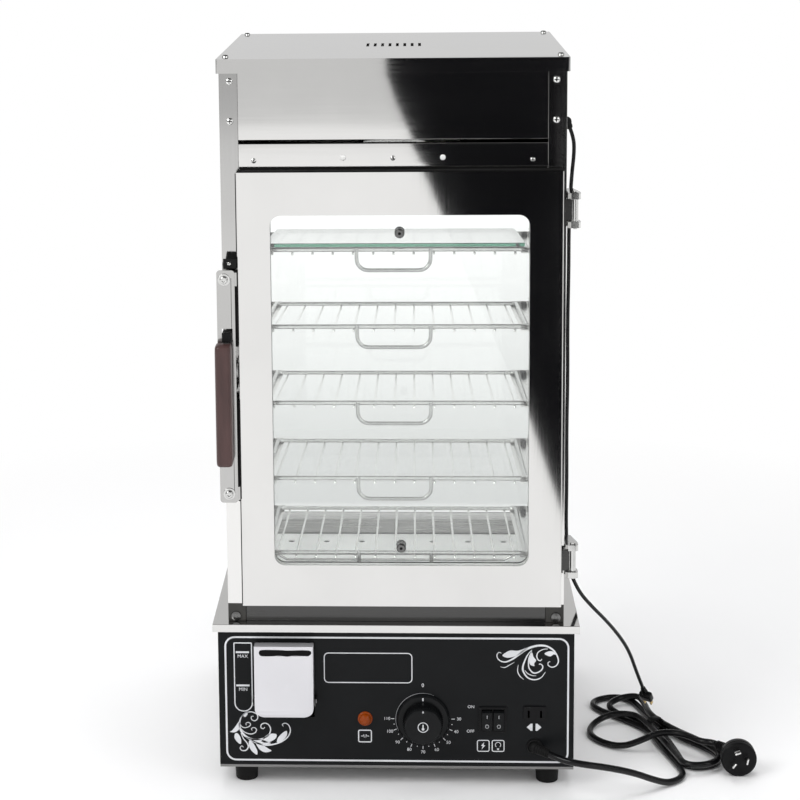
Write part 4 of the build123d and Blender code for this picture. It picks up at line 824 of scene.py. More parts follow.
def finish_sheets():
    for node in ("top_cap", "base_top_rim", "base_shell"):
        sheet_copy(node, "steel_across")
    sheet_copy("corner_posts", "steel_post")
    sheet_copy("upper_front_panel", "steel_across")
    sheet_copy("front_rail", "steel_across", shortest=0.003)
    sheet_copy("roof_walls", "steel_across")
    # The rails' front faces take the steel with painted shade, for the dark space under the door.
    paint(sheet_copy("lower_rails", ["steel_dull", "steel_dark"]), lambda face: face.center.y < at(0, 60, 0).y)
    caps, seal = bmesh.new(), bmesh.new()
    for x in (-50.7, 50.7):
        lathe(caps, [(0, -2.5), (2.6, -2.5), (2.6, -0.2), (2.9, 0.1), (2.4, 0.45), (1.2, 0.65), (0, 0.7)],
              spot(x, BEHIND_POST, 673.36, FACING_FRONT), 24)
    finished("rail_caps", caps, "nylon", "cabinet")
    # A black strip behind the rail that paints the shadow in the gap above the door.
    box(seal, -157.0, 157.0, 12.4, 15.4, 657.0, 664.0, edge=0.5, segments=2)
    finished("rail_seal", seal, "seal_black", "cabinet")
    # The ears in front of the overlay take the steel with painted shade, and the strip that faces the front takes the
    # steel with lighter painted shade
    paint(sheet_copy("front_panel", ["steel_across", "steel_dark", "steel_low"]),
          lambda face: face.center.y < at(0, OVERLAY_FRONT - 0.5, 0).y or 2 * (face.normal.y < -0.4))
    sheet_copy("ceiling_plate", "steel_dull")
    sheet_copy("rack_frames", "rack_steel", 0.0003)
    sheet_copy("latch_strike", "steel_upright", 0.0005)
    for node, look in INNER_LOOKS.items():
        colour_node(node, look)


STOP_BLOCK_LIP, STOP_BLOCK_FRONT, STOP_BLOCK_SLOPE = 568, -11.0, 0.36


def finish_feet():
    sheet_copy("rubber_feet", "rubber", 0.0012, 0.0, 3, 50)
    sheet_copy("corner_blocks", "block", 0.0008, segments=3)
    bm = bmesh.new()
    for x in (-168.0, 168.0):
        lathe(bm, [(0, -1), (5.4, -1), (5.4, 0.3), (4.9, 1.1), (3.6, 1.5), (1.8, 1.7), (1.6, 1.1), (0, 1.0)],
              spot(x, POST_FRONT, 186.4, FACING_FRONT), 24)
    finished("block_screws", bm, "dark_bolt", "cabinet", sharp=35)
    block = sheet_copy("stop_block", "rubber", 0.0005)
    for v in block.data.vertices:
        if v.co.z > STOP_BLOCK_LIP * MM:
            v.co.z -= (v.co.y - at(0, STOP_BLOCK_FRONT, 0).y) * STOP_BLOCK_SLOPE


# The clear opening between the door's panes: left, right, foot, top and corner radius
DOOR_OPENING = (-125.4, 138.4, 247.7, 616.8, 11.3)


def finish_glass():
    panes = finished("cabinet_panes", clean_copy("cabinet_glass"), ["glass", "glass_steamed"], "cabinet",
                     ["cabinet_glass"], sharp=30)
    paint(panes, lambda face: face.center.y > at(0, 335, 0).y)
    colour_node("door_glass", "glass")
    # The pale strip that keeps the door's two panes apart
    bm = bmesh.new()
    rings = []
    left, right, foot, top, corner = DOOR_OPENING
    for y, out in ((-0.75, 0.15), (-0.75, 2.6), (4.75, 2.6), (4.75, 0.15)):
        outline = rounded_frame(left - out, right + out, foot - out, top + out, corner + out, 6)
        rings.append([bm.verts.new(at(x, y, z)) for x, z in outline])
    bridge(bm, rings, closed=True)
    bmesh.ops.recalc_face_normals(bm, faces=bm.faces)
    finished("pane_spacer", bm, "seal_pale", "door", sharp=50)
    bm = clean_copy("drip_plate")
    round_edges(bm, 0.0006, 0.0)
    bm.normal_update()
    for face in bm.faces:
        face.material_index = int(abs(face.normal.z) <= 0.98)
    finished("drip_plate_glass", bm, ["glass", "glass_edge"], "top_rack", ["drip_plate"], weighted=True)


# Door, hinges and handle

def finish_door():
    sheet_copy("door_frame", "steel_upright", 0.0006)
    sheet_copy("door_inner_frame", "steel_upright")
    colour_node("door_gasket", "seal_pale")
    paint(sheet_copy("door_bolts", ["hinge_steel", "dark_bolt"], 0.0003, 0.0), lambda face: abs(face.center.x) < 0.03)
    # Black strips that paint the shadow in gaps: on the door's top edge and down the channel's side, open round the
    # latch roller
    bm = bmesh.new()
    box(bm, -158.6, 171.6, -4.6, 9.4, 661.0, 662.0, edge=0.4, segments=2)
    for low, high in ((318.6, 424.0), (482.0, 561.4)):
        box(bm, -161.4, -158.9, -12.4, -6.2, low, high, edge=0.5, segments=2)
    for low, high in ((205.0, 317.5), (562.5, 660.0)):
        box(bm, -160.1, -159.5, -5.7, 9.0, low, high)
    for z in (598.0, 266.5):
        lathe(bm, [(0, -0.5), (1.5, -0.5), (1.5, 0.15), (0, 0.15)], spot(6.5, -6.8, z, FACING_FRONT), 20)
    finished("door_seals", bm, "seal_black", "door", sharp=50)
    sheet_copy("hinge_brackets", "hinge_steel", 0.0006, segments=3)
    # The hinge leaves take the steel with painted shade, all but their outer part.
    paint(sheet_copy("hinge_leaves", ["steel_dark", "hinge_steel"], 0.0003), lambda face: face.center.x > 0.1795)


def finish_handle():
    """The channel with a painted shadow line along its bend, the latch, and a thermoset grip with a shallow hollow
    along its front.
    """
    sheet_copy("handle_channel", "steel_satin", 0.0004)
    bm = bmesh.new()
    rings = []
    for z, share in ((361.0, 0.82), (361.8, 0.92), (364.0, 0.98), (368.0, 1.0), (424.0, 1.0), (480.0, 1.0),
                     (484.4, 0.98), (486.6, 0.92), (487.2, 0.82)):
        ring = []
        for x, y in rounded_frame(-8.3, 8.3, -11.0, 11.0, 5.0, 6):
            hollow = 0.5 * max(0.0, 1 - (x / 5.0) ** 2) if y < -10.5 else 0.0
            ring.append(bm.verts.new(at(-173.3 + x * share, -25.0 + (y + hollow) * share, z)))
        rings.append(ring)
    bridge(bm, rings, caps=True)
    bmesh.ops.recalc_face_normals(bm, faces=bm.faces)
    finished("grip_bar", bm, "grip", "door", ["handle_grip"], sharp=50)
    # A black line on the channel's front paints the shade of its bend.
    Ink(-14.0).line([(-165.2, 326.0), (-165.2, 554.0)], 0.5).piece("channel_line", "seal_black", "handle_channel")
    sheet_copy("latch_lever", "black_matt", 0.0006)
    sheet_copy("latch_roller", "nylon", 0.0005, 0.0)


# Racks

BAR, WIRE, HANDLE_BAR = 2.4, 1.2, 2.0
WELD = 0.4
RACK_HALF, RACK_FAR = 137.6, 241.2
HANDLE_HALF = 38
HANDLE_FRONT = -(BAR + HANDLE_BAR - WELD)
RACK_BOLT = (146.0, 252.0)


def build_racks():
    row = repeat_tree("row")
    tilt = turned(-RACK_SLOPE, "X")
    bolts = []
    for level in range(5):
        z = RACK_TOP - level * RACK_PITCH
        build_rack(f"rack_{level + 1}", z, spot(0, RACK_FRONT, z, tilt), row, level == 4)
        drop = (RACK_BOLT[1] - RACK_FRONT) * math.tan(math.radians(RACK_SLOPE)) + 2.6
        bolts += [(side * RACK_BOLT[0], RACK_BOLT[1], z - drop, "up", 1.0) for side in (-1, 1)]
    # The bolts that hold the rack angles: a dome nut above, a washer, a nut and the thread's end below
    dome = lathe(None, [(0, 0), (3.3, 0), (3.3, 2.6), (3.0, 4.2), (2.2, 5.4), (1.1, 6.0), (0, 6.2)], TO_METRES, 20)
    nut = lathe(None, [(0, -9.0), (1.5, -8.8), (1.6, -8.2), (1.3, -7.8), (1.6, -7.4), (1.3, -7.0), (1.6, -6.6),
                       (1.6, -6.2), (3.1, -6.2), (3.3, -5.8), (3.3, -3.8), (3.1, -3.4), (2.0, -3.4), (2.0, -3.0),
                       (3.9, -3.0), (3.9, -1.9), (0, -1.9)], TO_METRES, 12)
    bm = at_spots(bolts, ((dome, "black_gloss"), (nut, "wire")))
    finished("rack_bolts", bm, ["black_gloss", "wire"], "cabinet")


def build_rack(node, z, slope, row, lowest):
    """A bent frame bar, cross wires under it, and a loop handle with its welds."""
    upright = spot(0, RACK_FRONT, z)
    bm, single = bmesh.new(), bmesh.new()
    corners = [(0, 0, 0), (RACK_HALF, 0, 0), (RACK_HALF, RACK_FAR, 0), (-RACK_HALF, RACK_FAR, 0),
               (-RACK_HALF, 0, 0), (0, 0, 0)]
    pipe(bm, bent(corners, 7.0)[:-1], BAR, slope, 14, True)
    drop = BAR + WIRE - WELD
    ends = [(0, -BAR - 1.0, -drop - 1.6), (0, -BAR - 0.2, -drop), (0, RACK_FAR + BAR, -drop)]
    pipe(single, bent(ends, 1.0, 4), WIRE, TO_METRES, 10)
    count, pitch = sizes().rack_wires, sizes().wire_pitch
    wires = grown(row, single, "wire", Count=count, Size=pitch)
    start = Matrix.Translation((-(count - 1) / 2 * pitch, 0, 0))
    into(bm, wires, slope @ TO_MILLIMETRES @ start, 2)
    known = len(bm.faces)
    front = HANDLE_FRONT
    sides = (-HANDLE_HALF, HANDLE_HALF)
    loop = [(x, front, z) for x, z in zip(sides[:1] * 2 + sides[1:] * 2, (1.5, -21, -21, 1.5))]
    pipe(bm, bent(loop, 12.0, 8), HANDLE_BAR, upright, 14)
    for x in sides:
        lathe(bm, [(0, 1.9), (1.2, 1.6), (2.0, 0.2), (2.0, -1.5), (0, -1.6)],
              spot(x, RACK_FRONT + front, z + 1.5), 14)
        lathe(bm, [(0, -1.4), (1.4, -1.0), (1.8, 0), (1.4, 1.0), (0, 1.4)], spot(x, RACK_FRONT + front / 2, z), 12)
    give_slot(bm, known, 1)
    if lowest:
        pipe(bm, bent([(-126, 0, -1), (-114, 0, -7.6), (114, 0, -7.6), (126, 0, -1)], 4.0), WIRE, upright, 10)
    # The cross wires take the wire with painted light, the handle and its welds the wire with painted shade.
    finished(node + "_wire", bm, ["wire", "wire_dark", "wire_light"], BODY_OF[node], [node], sharp=50)


# Printed front

class Ink:
    """Flat marks on a plane that faces the front, drawn in millimetres."""

    def __init__(self, y):
        self.bm = bmesh.new()
        self.y = y

    def outline(self, points):
        self.bm.faces.new([self.bm.verts.new(at(x, self.y, z)) for x, z in points])
        return self

    def line(self, points, width, closed=False):
        """A stroke. width is one number, or a list that is spread along it."""
        count = len(points)
        sides = []
        for i, point in enumerate(points):
            after = points[(i + 1) % count] if closed else points[min(i + 1, count - 1)]
            before = points[i - 1] if closed else points[max(i - 1, 0)]
            way = (Vector(after) - Vector(before)).normalized()
            half = spread(width, i / max(count - 1, 1)) / 2
            sides.append([self.bm.verts.new(at(point[0] - way.y * part, self.y, point[1] + way.x * part))
                          for part in (half, -half)])
        for first, second in zip(sides, sides[1:] + (sides[:1] if closed else [])):
            self.bm.faces.new((first[0], second[0], second[1], first[1]))
        return self

    def word(self, text, size, x, z):
        data = bpy.data.curves.new("word", "FONT")
        data.body, data.size = text, size
        data.align_x, data.align_y = "CENTER", "CENTER"
        data.resolution_u = 3
        made = linked("word", data)
        mesh = evaluated(made)
        bpy.data.objects.remove(made)
        into(self.bm, mesh, spot(x, self.y, z, FACING_FRONT))

    def piece(self, name, material, slot, thick=0.0001, turn=None):
        """The marks with their thickness, as one piece on the slot's body."""
        bm = self.bm
        bmesh.ops.recalc_face_normals(bm, faces=bm.faces)
        for face in bm.faces:
            if face.normal.y > 0:
                face.normal_flip()
        made = bmesh.ops.extrude_face_region(bm, geom=list(bm.faces))
        moved = [v for v in made["geom"] if isinstance(v, bmesh.types.BMVert)]
        bmesh.ops.translate(bm, verts=moved, vec=(0, -thick, 0))
        bmesh.ops.recalc_face_normals(bm, faces=bm.faces)
        if turn is not None:
            bm.transform(turn)
        return finished(name, bm, material, BODY_OF[slot], sharp=30)


def spread(values, share):
    if not isinstance(values, (list, tuple)):
        return values
    place = share * (len(values) - 1)
    low = min(int(place), len(values) - 2)
    return values[low] + (values[low + 1] - values[low]) * (place - low)


# The scroll at the lower left and the one at the upper right, in tenths of a millimetre from a corner
LOWER_CURLS = [
    ([(205, 510), (150, 480), (118, 420), (112, 350), (135, 280), (190, 225), (270, 200), (350, 210), (415, 250),
      (440, 310), (425, 360), (385, 385), (345, 370), (338, 335), (362, 322), (380, 340)],
     [0.8, 1.6, 2.6, 3.2, 2.2, 1.8, 1.6, 1.5, 1.4, 1.2, 0.9]),
    ([(120, 440), (160, 490), (235, 510), (295, 485), (305, 440), (275, 410), (240, 425), (238, 455), (262, 462)],
     [0.8, 1.3, 1.5, 1.4, 1.1, 0.8]),
    ([(112, 390), (130, 350), (165, 332), (210, 345), (228, 372), (205, 392), (178, 380), (184, 360)],
     [0.8, 1.2, 1.3, 1.1, 0.7]),
    ([(120, 330), (160, 285), (220, 262), (272, 275), (290, 312), (265, 335), (236, 322), (244, 302)],
     [0.8, 1.3, 1.4, 1.1, 0.7]),
    ([(125, 270), (150, 210), (185, 165), (200, 120), (175, 80), (130, 78), (112, 105), (130, 128), (150, 112)],
     [1.0, 1.6, 1.8, 1.5, 1.0, 0.8]),
    ([(235, 190), (300, 160), (380, 140), (470, 148), (560, 182), (626, 238), (650, 305), (634, 362), (598, 386),
      (566, 372), (576, 350)],
     [2.4, 2.6, 2.4, 2.0, 1.8, 1.6, 1.4, 1.3, 1.1, 0.8]),
]
LOWER_LEAVES = [
    [(105, 400), (70, 350), (30, 300), (8, 285), (45, 278), (80, 290), (112, 330)],
    [(60, 262), (55, 215), (90, 165), (120, 150), (125, 195), (110, 240), (85, 270)],
    [(152, 468), (168, 500), (198, 512), (196, 478), (172, 452)],
    [(212, 190), (205, 140), (230, 80), (288, 30), (296, 70), (270, 130), (240, 175)],
    [(282, 158), (320, 90), (380, 58), (445, 75), (405, 105), (355, 140), (310, 160)],
    [(340, 185), (380, 235), (430, 265), (500, 262), (492, 215), (440, 180), (385, 165)],
    [(505, 172), (520, 225), (565, 275), (610, 300), (612, 250), (580, 205), (540, 178)],
    [(165, 232), (230, 212), (320, 205), (400, 180), (440, 160), (380, 148), (290, 165), (215, 195)],
]
UPPER_CURLS = [
    ([(55, 362), (28, 370), (8, 340), (20, 298), (60, 270), (110, 268), (175, 300), (235, 345), (300, 395),
      (370, 430), (450, 448), (530, 440), (600, 395), (640, 330), (650, 270), (625, 225), (580, 212), (545, 232),
      (545, 262), (565, 272)],
     [0.8, 1.2, 1.4, 1.8, 2.4, 2.8, 3.2, 3.0, 2.4, 2.0, 1.6, 1.4, 1.2, 1.0]),
    ([(540, 412), (490, 405), (440, 375), (425, 330), (440, 290), (465, 282), (478, 300)],
     [0.8, 1.4, 1.7, 1.4, 1.0]),
    ([(375, 400), (330, 345), (300, 280), (280, 215), (285, 160), (330, 95), (400, 72), (470, 95), (515, 158)],
     [0.8, 1.6, 2.2, 2.6, 2.2, 1.8, 1.4, 0.6]),
    ([(372, 385), (345, 320), (338, 260), (345, 200), (385, 150), (430, 150), (475, 180), (488, 220), (465, 245),
      (448, 240)],
     [0.8, 1.4, 1.8, 2.0, 1.8, 1.5, 1.0]),
    ([(300, 175), (330, 140), (380, 118), (420, 115)], [0.6, 1.2, 1.0, 0.4]),
    ([(45, 212), (90, 205), (140, 232), (190, 262)], [0.3, 1.2, 1.1, 0.4]),
    ([(292, 72), (250, 110), (225, 165), (232, 235)], [0.3, 1.4, 1.4, 0.4]),
]
UPPER_LEAVES = [
    [(65, 335), (95, 365), (150, 392), (230, 390), (330, 425), (270, 370), (200, 330), (120, 312)],
    [(375, 370), (350, 320), (345, 270), (360, 235), (400, 222), (398, 250), (418, 285), (400, 310), (388, 330)],
    [(505, 358), (540, 382), (590, 385), (630, 345), (600, 352), (570, 330), (535, 338)],
]
WORDS = (("ON", 4.6, 79.2, 89.7), ("OFF", 4.6, 78.6, 62.6), ("MAX", 5.2, -161.4, 144.0), ("MIN", 5.2, -161.4, 107.4))
SCALE = (("0", 90), ("30", 0), ("40", -22.5), ("50", -45), ("60", -67.5), ("70", -90), ("80", -112.5), ("90", -135),
         ("100", -157.5), ("110", 180))
ARROW_X = 145.5
CURL_WIDTH = 0.72


def print_front():
    colour_node("panel_overlay", "overlay")
    ink = Ink(OVERLAY_FRONT)
    ink.line(rounded_frame(-179.6, 181.0, 28.9, 165.2, 10.0), 1.9, True)
    ink.line(rounded_frame(-170.4, -151.9, 83.3, 158.8, 0.8, lower=9.0), 1.1, True)
    for z in (148.6, 111.8):
        ink.line([(-168.6, z), (-154.6, z)], 2.0)
    ink.line(rounded_frame(-75.2, 17.1, 115.8, 148.3, 4.5), 1.0, True)
    ink.line(rounded_frame(-39.6, -26.1, 49.9, 62.9, 1.6), 1.1, True)
    ink.line([(-37.0, 56.4), (-35.0, 56.4), (-34.4, 58.2), (-33.6, 54.6), (-32.8, 58.2), (-32.0, 54.6),
              (-31.2, 58.2), (-30.6, 56.4), (-28.6, 56.4)], 0.7)
    for x0, x1 in ((85.9, 98.3), (101.5, 114.0)):
        ink.line(rounded_frame(x0, x1, 40.4, 52.6, 1.8), 0.9, True)
    ink.outline([(93.0, 50.6), (89.8, 46.5), (91.6, 46.4), (90.2, 42.4), (94.2, 46.9), (92.4, 47.0)])
    ink.line(arc(107.7, 47.6, 2.9, range(-50, 231, 20)), 0.6)
    ink.outline([(106.2, 43.6), (109.2, 43.6), (107.7, 41.4)])
    arrow = ((1.6, 71.6), (3.4, 71.6), (7.8, 67.6), (3.4, 63.6), (1.6, 63.6))
    for side in (-1, 1):
        ink.outline([(ARROW_X + side * x, z) for x, z in arrow])
    for entry in WORDS:
        ink.word(*entry)
    for text, angle in SCALE:
        ink.word(text, 5.6 if text == "0" else 4.8, *arc(*DIAL, 38.0, [angle], 37.0)[0])
    for index in range(17):
        low, high, wide = (30.6, 31.6, 0.8) if index % 2 else (30.2, 33.6, 0.7)
        ink.line([arc(*DIAL, radius, [-index * 11.25])[0] for radius in (low, high)], wide)
    for curls, leaves, x, z in ((LOWER_CURLS, LOWER_LEAVES, -177.0, 31.5), (UPPER_CURLS, UPPER_LEAVES, 105.5, 113.0)):
        for points, widths in curls:
            ink.line([(x + p.x / 10, z + p.y / 10) for p in smooth_loop(points, 7, False)],
                     [width * CURL_WIDTH for width in widths])
        for points in leaves:
            ink.outline([(x + p.x / 10, z + p.y / 10) for p in smooth_loop(points, 4)])
    ink.piece("panel_print", "ink", "panel_overlay", sizes().ink)


# Controls

def build_controls():
    build_dial()
    bm = lathe(None, [(0, -6.0), (5.7, -6.0), (5.7, 0), (7.8, 0), (7.8, 0.9), (7.4, 1.6), (6.6, 1.9), (6.2, 1.8),
                      (6.1, 2.6), (5.6, 4.0), (4.6, 5.2), (3.2, 5.8), (1.6, 6.0), (0, 6.0)],
               spot(INDICATOR[0], OVERLAY_FRONT, INDICATOR[1], FACING_FRONT))
    finished("indicator_lens_dome", bm, "lens", "cabinet", ["indicator_lens"], sharp=50)
    sheet_copy("switch_body", "black_matt", 0.0004)
    y, z = ROCKER_AXIS
    for node, x in (("heater_rocker", 96.0), ("lamp_rocker", 108.4)):
        sheet_copy(node, "black_gloss", 0.0005, segments=3)
        pivot = at(x, y, z)
        turn = Matrix.Translation(pivot) @ turned(ROCKER_TILT, "X") @ Matrix.Translation(-pivot)
        marks = Ink(y - 6.6 + 0.62).line([(x, z + 3.8), (x, z + 7.6)], 0.8)
        marks.line(arc(x, z - 5.6, 1.7, range(0, 360, 15), 2.0), 0.65, True)
        marks.piece(node + "_marks", "ink_dim", node, 0.0004, turn)
    sheet_copy("outlet_socket", "black_matt", 0.0006, segments=3)
    build_glands()


def build_dial():
    x, z = DIAL
    place = spot(x, 0, z, FACING_FRONT)
    skirt = lathe(None, [(0, -3.9), (27.9, -3.9), (28.5, -3.3), (28.4, -2.4), (27.4, -0.6), (26.2, 0.9), (25.4, 1.1),
                         (0, 1.1)], place, 96)
    finished("dial_skirt_turned", skirt, "black_gloss", "dial", ["dial_skirt"], sharp=28)
    knob = lathe(None, [(0, 1.1), (21.0, 1.1), (21.0, 1.9), (20.6, 2.4), (19.7, 15.4), (19.5, 16.8), (18.9, 17.8),
                        (17.9, 18.4), (17.0, 18.6), (15.6, 18.25), (6.4, 18.05), (5.7, 18.6), (0, 18.6)], place, 96)
    lathe(knob, [(0, -10), (3.0, -10), (3.0, 1.5), (0, 1.5)], place, 24)
    rib = bmesh.new()
    for y in (-0.42, 0.42):
        for out, high, wide in ((20.2, 2.2, 1.2), (21.5, 2.4, 0.6), (20.5, 15.6, 0.6), (19.2, 16.2, 1.2)):
            rib.verts.new((out * MM, y * MM * wide, high * MM))
    bmesh.ops.convex_hull(rib, input=rib.verts)
    into(knob, grown(repeat_tree("ring"), rib, "black_gloss", Count=sizes().knob_ribs), place @ TO_MILLIMETRES)
    finished("dial_knob_turned", knob, "black_gloss", "dial", ["dial_knob"], sharp=28)
    marks = Ink(-18.6).line(arc(x, z, 5.2, range(0, 360, 10)), 0.8, True).line([(x, z - 1.0), (x, z + 3.0)], 1.3)
    marks.outline(arc(x, z - 1.8, 1.5, range(0, 360, 30))).piece("dial_mark", "ink", "dial_knob", 0.00012)
    Ink(-18.45).line([(x, z + 15.6), (x, z + 17.6)], 1.6).piece("dial_dot", "ink", "dial_knob")
    # A painted highlight: a thin pale arc along the skirt's upper left edge, drawn on the panel.
    edge = Ink(3.7).line(arc(x, z, 28.7, range(66, 210, 4)), [0.12, 0.5, 0.6, 0.55, 0.3])
    edge.piece("dial_edge_line", "ink_dim", "dial_skirt")
    Ink(-1.1).line([(x, z + 21.9), (x, z + 25.2)], 1.5).piece("dial_pointer", "ink", "dial_skirt")


def build_glands():
    """The mains lead's collar and ribbed relief, and the lamp lead's bush."""
    bm = lathe(None, [(0, -11), (5.6, -11), (5.6, 0), (8.2, 0), (8.2, 1.6), (7.8, 2.6), (7.0, 3.0), (6.4, 2.6),
                      (6.2, 2.2), (0, 2.2)], spot(GLAND_X, OVERLAY_FRONT, 46.5, FACING_FRONT))
    root, end = Vector((GLAND_X, 1.5, 46.5)), Vector(MAINS_EXIT)
    reach = (end - root).length
    relief = [(0, -5.5), (3.2, -5.0), (5.3, -3.0), (6.15, 0), (6.0, 1.6),
              *ribs(6, 2.2, 2.9, 5.9, -0.22, (0, 0), (0.05, 1.5), (0.75, 1.75), (0.8, 2.6)),
              (4.7, reach - 0.8), (4.3, reach), (0, reach)]
    lathe(bm, relief, spot(*root, heading(end - root)), 32)
    start, after = (Vector((CABINET_HALF + x, y, z)) for x, y, z in LAMP_ROUTE[:2])
    way = (after - start).normalized()
    lathe(bm, [(0, -4), (4.4, -4), (4.4, 0), (7.0, 0), (7.0, 1.8), (6.3, 2.7), (4.4, 3.0), (0, 3.0)],
          spot(CABINET_HALF - 1.2, 50.0, 704.0, turned(90, "Y")), 32)
    lathe(bm, [(0, -4.6), (3.0, -3.6), (4.4, -1.0), (4.4, 0.5), (3.9, 3.0), (3.3, 3.2), (3.6, 5.4), (3.0, 8.0),
               (0, 8.0)], spot(*(start - way * 8), heading(way)), 24)
    finished("cord_reliefs", bm, "rubber", "cabinet", ["cord_glands"], sharp=32)


# Filler box

def softened(place):
    """Draws the filler's lower corners in, lifts its round bottom a little and raises its front lip."""
    across, deep, height = place.x / MM - FILLER_X, (place.y - at(0, 0, 0).y) / MM, place.z / MM
    if deep < -9 and height > 157.5:
        return place + Vector((0, 0, 2.0 * MM))
    if deep < -9 and abs(across) < 27 and 149 < height < 156:
        return place + Vector((2.0 * MM, 0, 1.9 * MM))
    if height >= 98 or abs(across) > FILLER_HALF:
        return place
    height = 98 - (98 - height) * 0.79
    share = min(1.0, max(0.0, (93.0 - height) / 9.0))
    inset = 9.0 * (1 - math.sqrt(1 - share * share)) * max(0.0, (abs(across) - 20.0) / 10.8)
    across = math.copysign(abs(across) - inset, across)
    return Vector(((across + FILLER_X) * MM, place.y, height * MM))


def finish_filler():
    tray = sheet_copy("filler_box", ["filler_white", "filler_shade"], 0.0007, 0.0003, 3, 50)
    # Its sides and pins beyond the middle, and its top faces, take the painted shade.
    paint(tray, lambda face: abs(face.center.x / MM - FILLER_X) > FILLER_HALF
          or face.normal.z > 0.9 and face.center.z > 0.157)
    fine = bmesh.new()
    fine.from_mesh(tray.data)
    for z in (98, 95.5, 93.5, 92, 90.5, 89, 87.5, 86, 84.5, 83, 81.8, 80.9):
        bmesh.ops.bisect_plane(fine, geom=[*fine.verts, *fine.edges, *fine.faces], plane_co=(0, 0, z * MM),
                               plane_no=(0, 0, 1))
    for v in fine.verts:
        v.co = softened(v.co)
    fine.to_mesh(tray.data)
    fine.free()
    # A black plate behind the slot paints the shade inside the filler's hollow.
    bm = bmesh.new()
    box(bm, -144.6, -87.0, -10.5, -10.0, 148.0, 158.4, edge=0.2)
    finished("filler_hollow", bm, "seal_black", "filler")
    # The slot's opening is painted black as shade, with its wavy lower lip.
    lip = [(-142.2, 152.6), (-139, 151.2), (-128, 151.3), (-122, 152.2), (-117.5, 151.4), (-112.5, 151.0),
           (-106, 152.3), (-98, 152.2), (-92, 151.6), (-90.2, 152.0), (-88.0, 154.4), (-89.2, 157.4), (-98, 158.0),
           (-112, 157.6), (-124, 158.1), (-139.5, 158.0), (-142.6, 156.0)]
    Ink(-13.7).outline([tuple(p) for p in smooth_loop(lip, 3)]).piece("filler_slot", "seal_black", "filler_box")


# Screws

def set_screws():
    head = lathe(None, [(0, -7.0), (1.45, -7.0), (1.45, 0), (3.6, 0), (3.6, 0.5), (3.3, 1.3), (2.7, 1.75),
                        (1.9, 2.05), (0.9, 2.2), (0, 2.2)], TO_METRES, 20)
    # The cross is a black solid through the head that paints the shade in the cross recess.
    cross = bmesh.new()
    for wide, deep in ((2.3, 0.42), (0.42, 2.3)):
        box(cross, -wide, wide, -deep, deep, 0.6, 2.26, TO_METRES)
    places = []
    for side in (-1, 1):
        places += [(side * 171.3, y, 775.0, "up", 0.95) for y in (36.5, 332.0)]
        places += [(side * 165.5, POST_FRONT, z, "front", 1.0) for z in (752.3, 711.5)]
        places += [(side * 160.8, y, 14.5, "down", 1.0) for y in (28.0, 337.0)]
    places += [(x, BEHIND_POST, z, "front", 0.72) for x, z in ((-141.9, 670.72), (0.0, 672.88), (141.9, 670.72))]
    places += [(-167.0, -11.0, 568.4, "front", 0.55)]
    bm = at_spots(places, ((head, "polished"), (cross, "seal_black")))
    finished("screw_set", bm, ["polished", "seal_black"], "cabinet", ["screws"], sharp=35)


# Studio

LAMPS = (("key_softbox", (-1.6, -1.5, 2.0), 1.4, 34.0), ("fill_softbox", (1.9, -1.6, 1.4), 1.6, 16.0),
         ("top_softbox", (0, 0.3, 2.4), 1.6, 22.0))
LAMP_AIM = Vector((0, 0, 0.4))
# The cards' outlines as (x, z) in metres, and their plane. The first one's left edge slants
CARD_PLANE = -0.62
DARK_CARDS = {
    "dark_card_right": ((-0.014, 0.78), (-0.011, 0.715), (-0.001, 0.683), (0.008, 0.661), (0.017, 0.635),
                        (0.027, 0.61), (0.042, 0.574), (0.053, 0.547), (0.161, 0.294), (0.201, 0.179), (0.235, 0.1),
                        (0.262, 0.1), (0.23, 0.2), (0.23, 0.78)),
    "dark_card_far": ((0.62, 0.0), (0.95, 0.0), (0.95, 1.2), (0.62, 1.2)),
}


def build_world():
    """White to the camera and through glass, grey to matt faces, and a room that dims upwards to mirrors."""
    world = bpy.data.worlds.new("studio_world")
    bpy.context.scene.world = world
    world.use_nodes = True
    sky = Graph(world.node_tree)
    dim = sky.tree.nodes["Background"]
    sky.feed(dim.inputs["Color"], (0.62, 0.62, 0.63, 1))
    way = sky.parts(sky.node("ShaderNodeTexCoord").outputs["Generated"])
    rise, depth, side = (sky.span(value, *ends, interpolation_type="SMOOTHSTEP") for value, ends in (
        (way["Z"], (1.0, 0.12, 0.3, 0.62)), (way["Y"], (1.0, 0.86, -0.2, 0.8)),
        (sky.math("ABSOLUTE", way["X"]), (1.0, 0.5, 0.3, 0.95))))
    power = sky.math("MULTIPLY", sky.math("MULTIPLY", rise, depth), side)
    room = sky.node("ShaderNodeBackground", {"Strength": power})
    clear = sky.node("ShaderNodeBackground", {"Color": (1, 1, 1, 1)})
    ray = sky.node("ShaderNodeLightPath").outputs
    either = sky.math("MAXIMUM", ray["Is Camera Ray"], ray["Is Transmission Ray"])
    mirrored = sky.mix(ray["Is Glossy Ray"], dim.outputs[0], room.outputs[0])
    sky.feed(sky.tree.nodes["World Output"].inputs[0], sky.mix(either, mirrored, clear.outputs[0]))


def build_floor():
    bm = bmesh.new()
    bmesh.ops.create_circle(bm, cap_ends=True, segments=64, radius=6.0)
    floor = linked("studio_floor", mesh_of("studio_floor", bm))
    look = Finish("floor_paper")
    wide = look.noise(1.5, detail=4.0)
    look.set(color=look.drift(wide, colours().floor, 0.99, 1.01), rough=0.7, specular=0.1)
    distance = look.node("ShaderNodeVectorMath", {0: look.place}, operation="LENGTH").outputs["Value"]
    power = look.span(look.node("ShaderNodeLightPath").outputs["Is Glossy Ray"], 1.0, 1.2, 0.0, 1.0)
    glow = look.node("ShaderNodeEmission", {"Color": (1, 1, 1, 1), "Strength": power}).outputs[0]
    far = look.span(distance, 0.0, 1.0, 0.5, 1.3)
    floor.data.materials.append(look.surface(look.mix(far, look.shader.outputs[0], glow)))


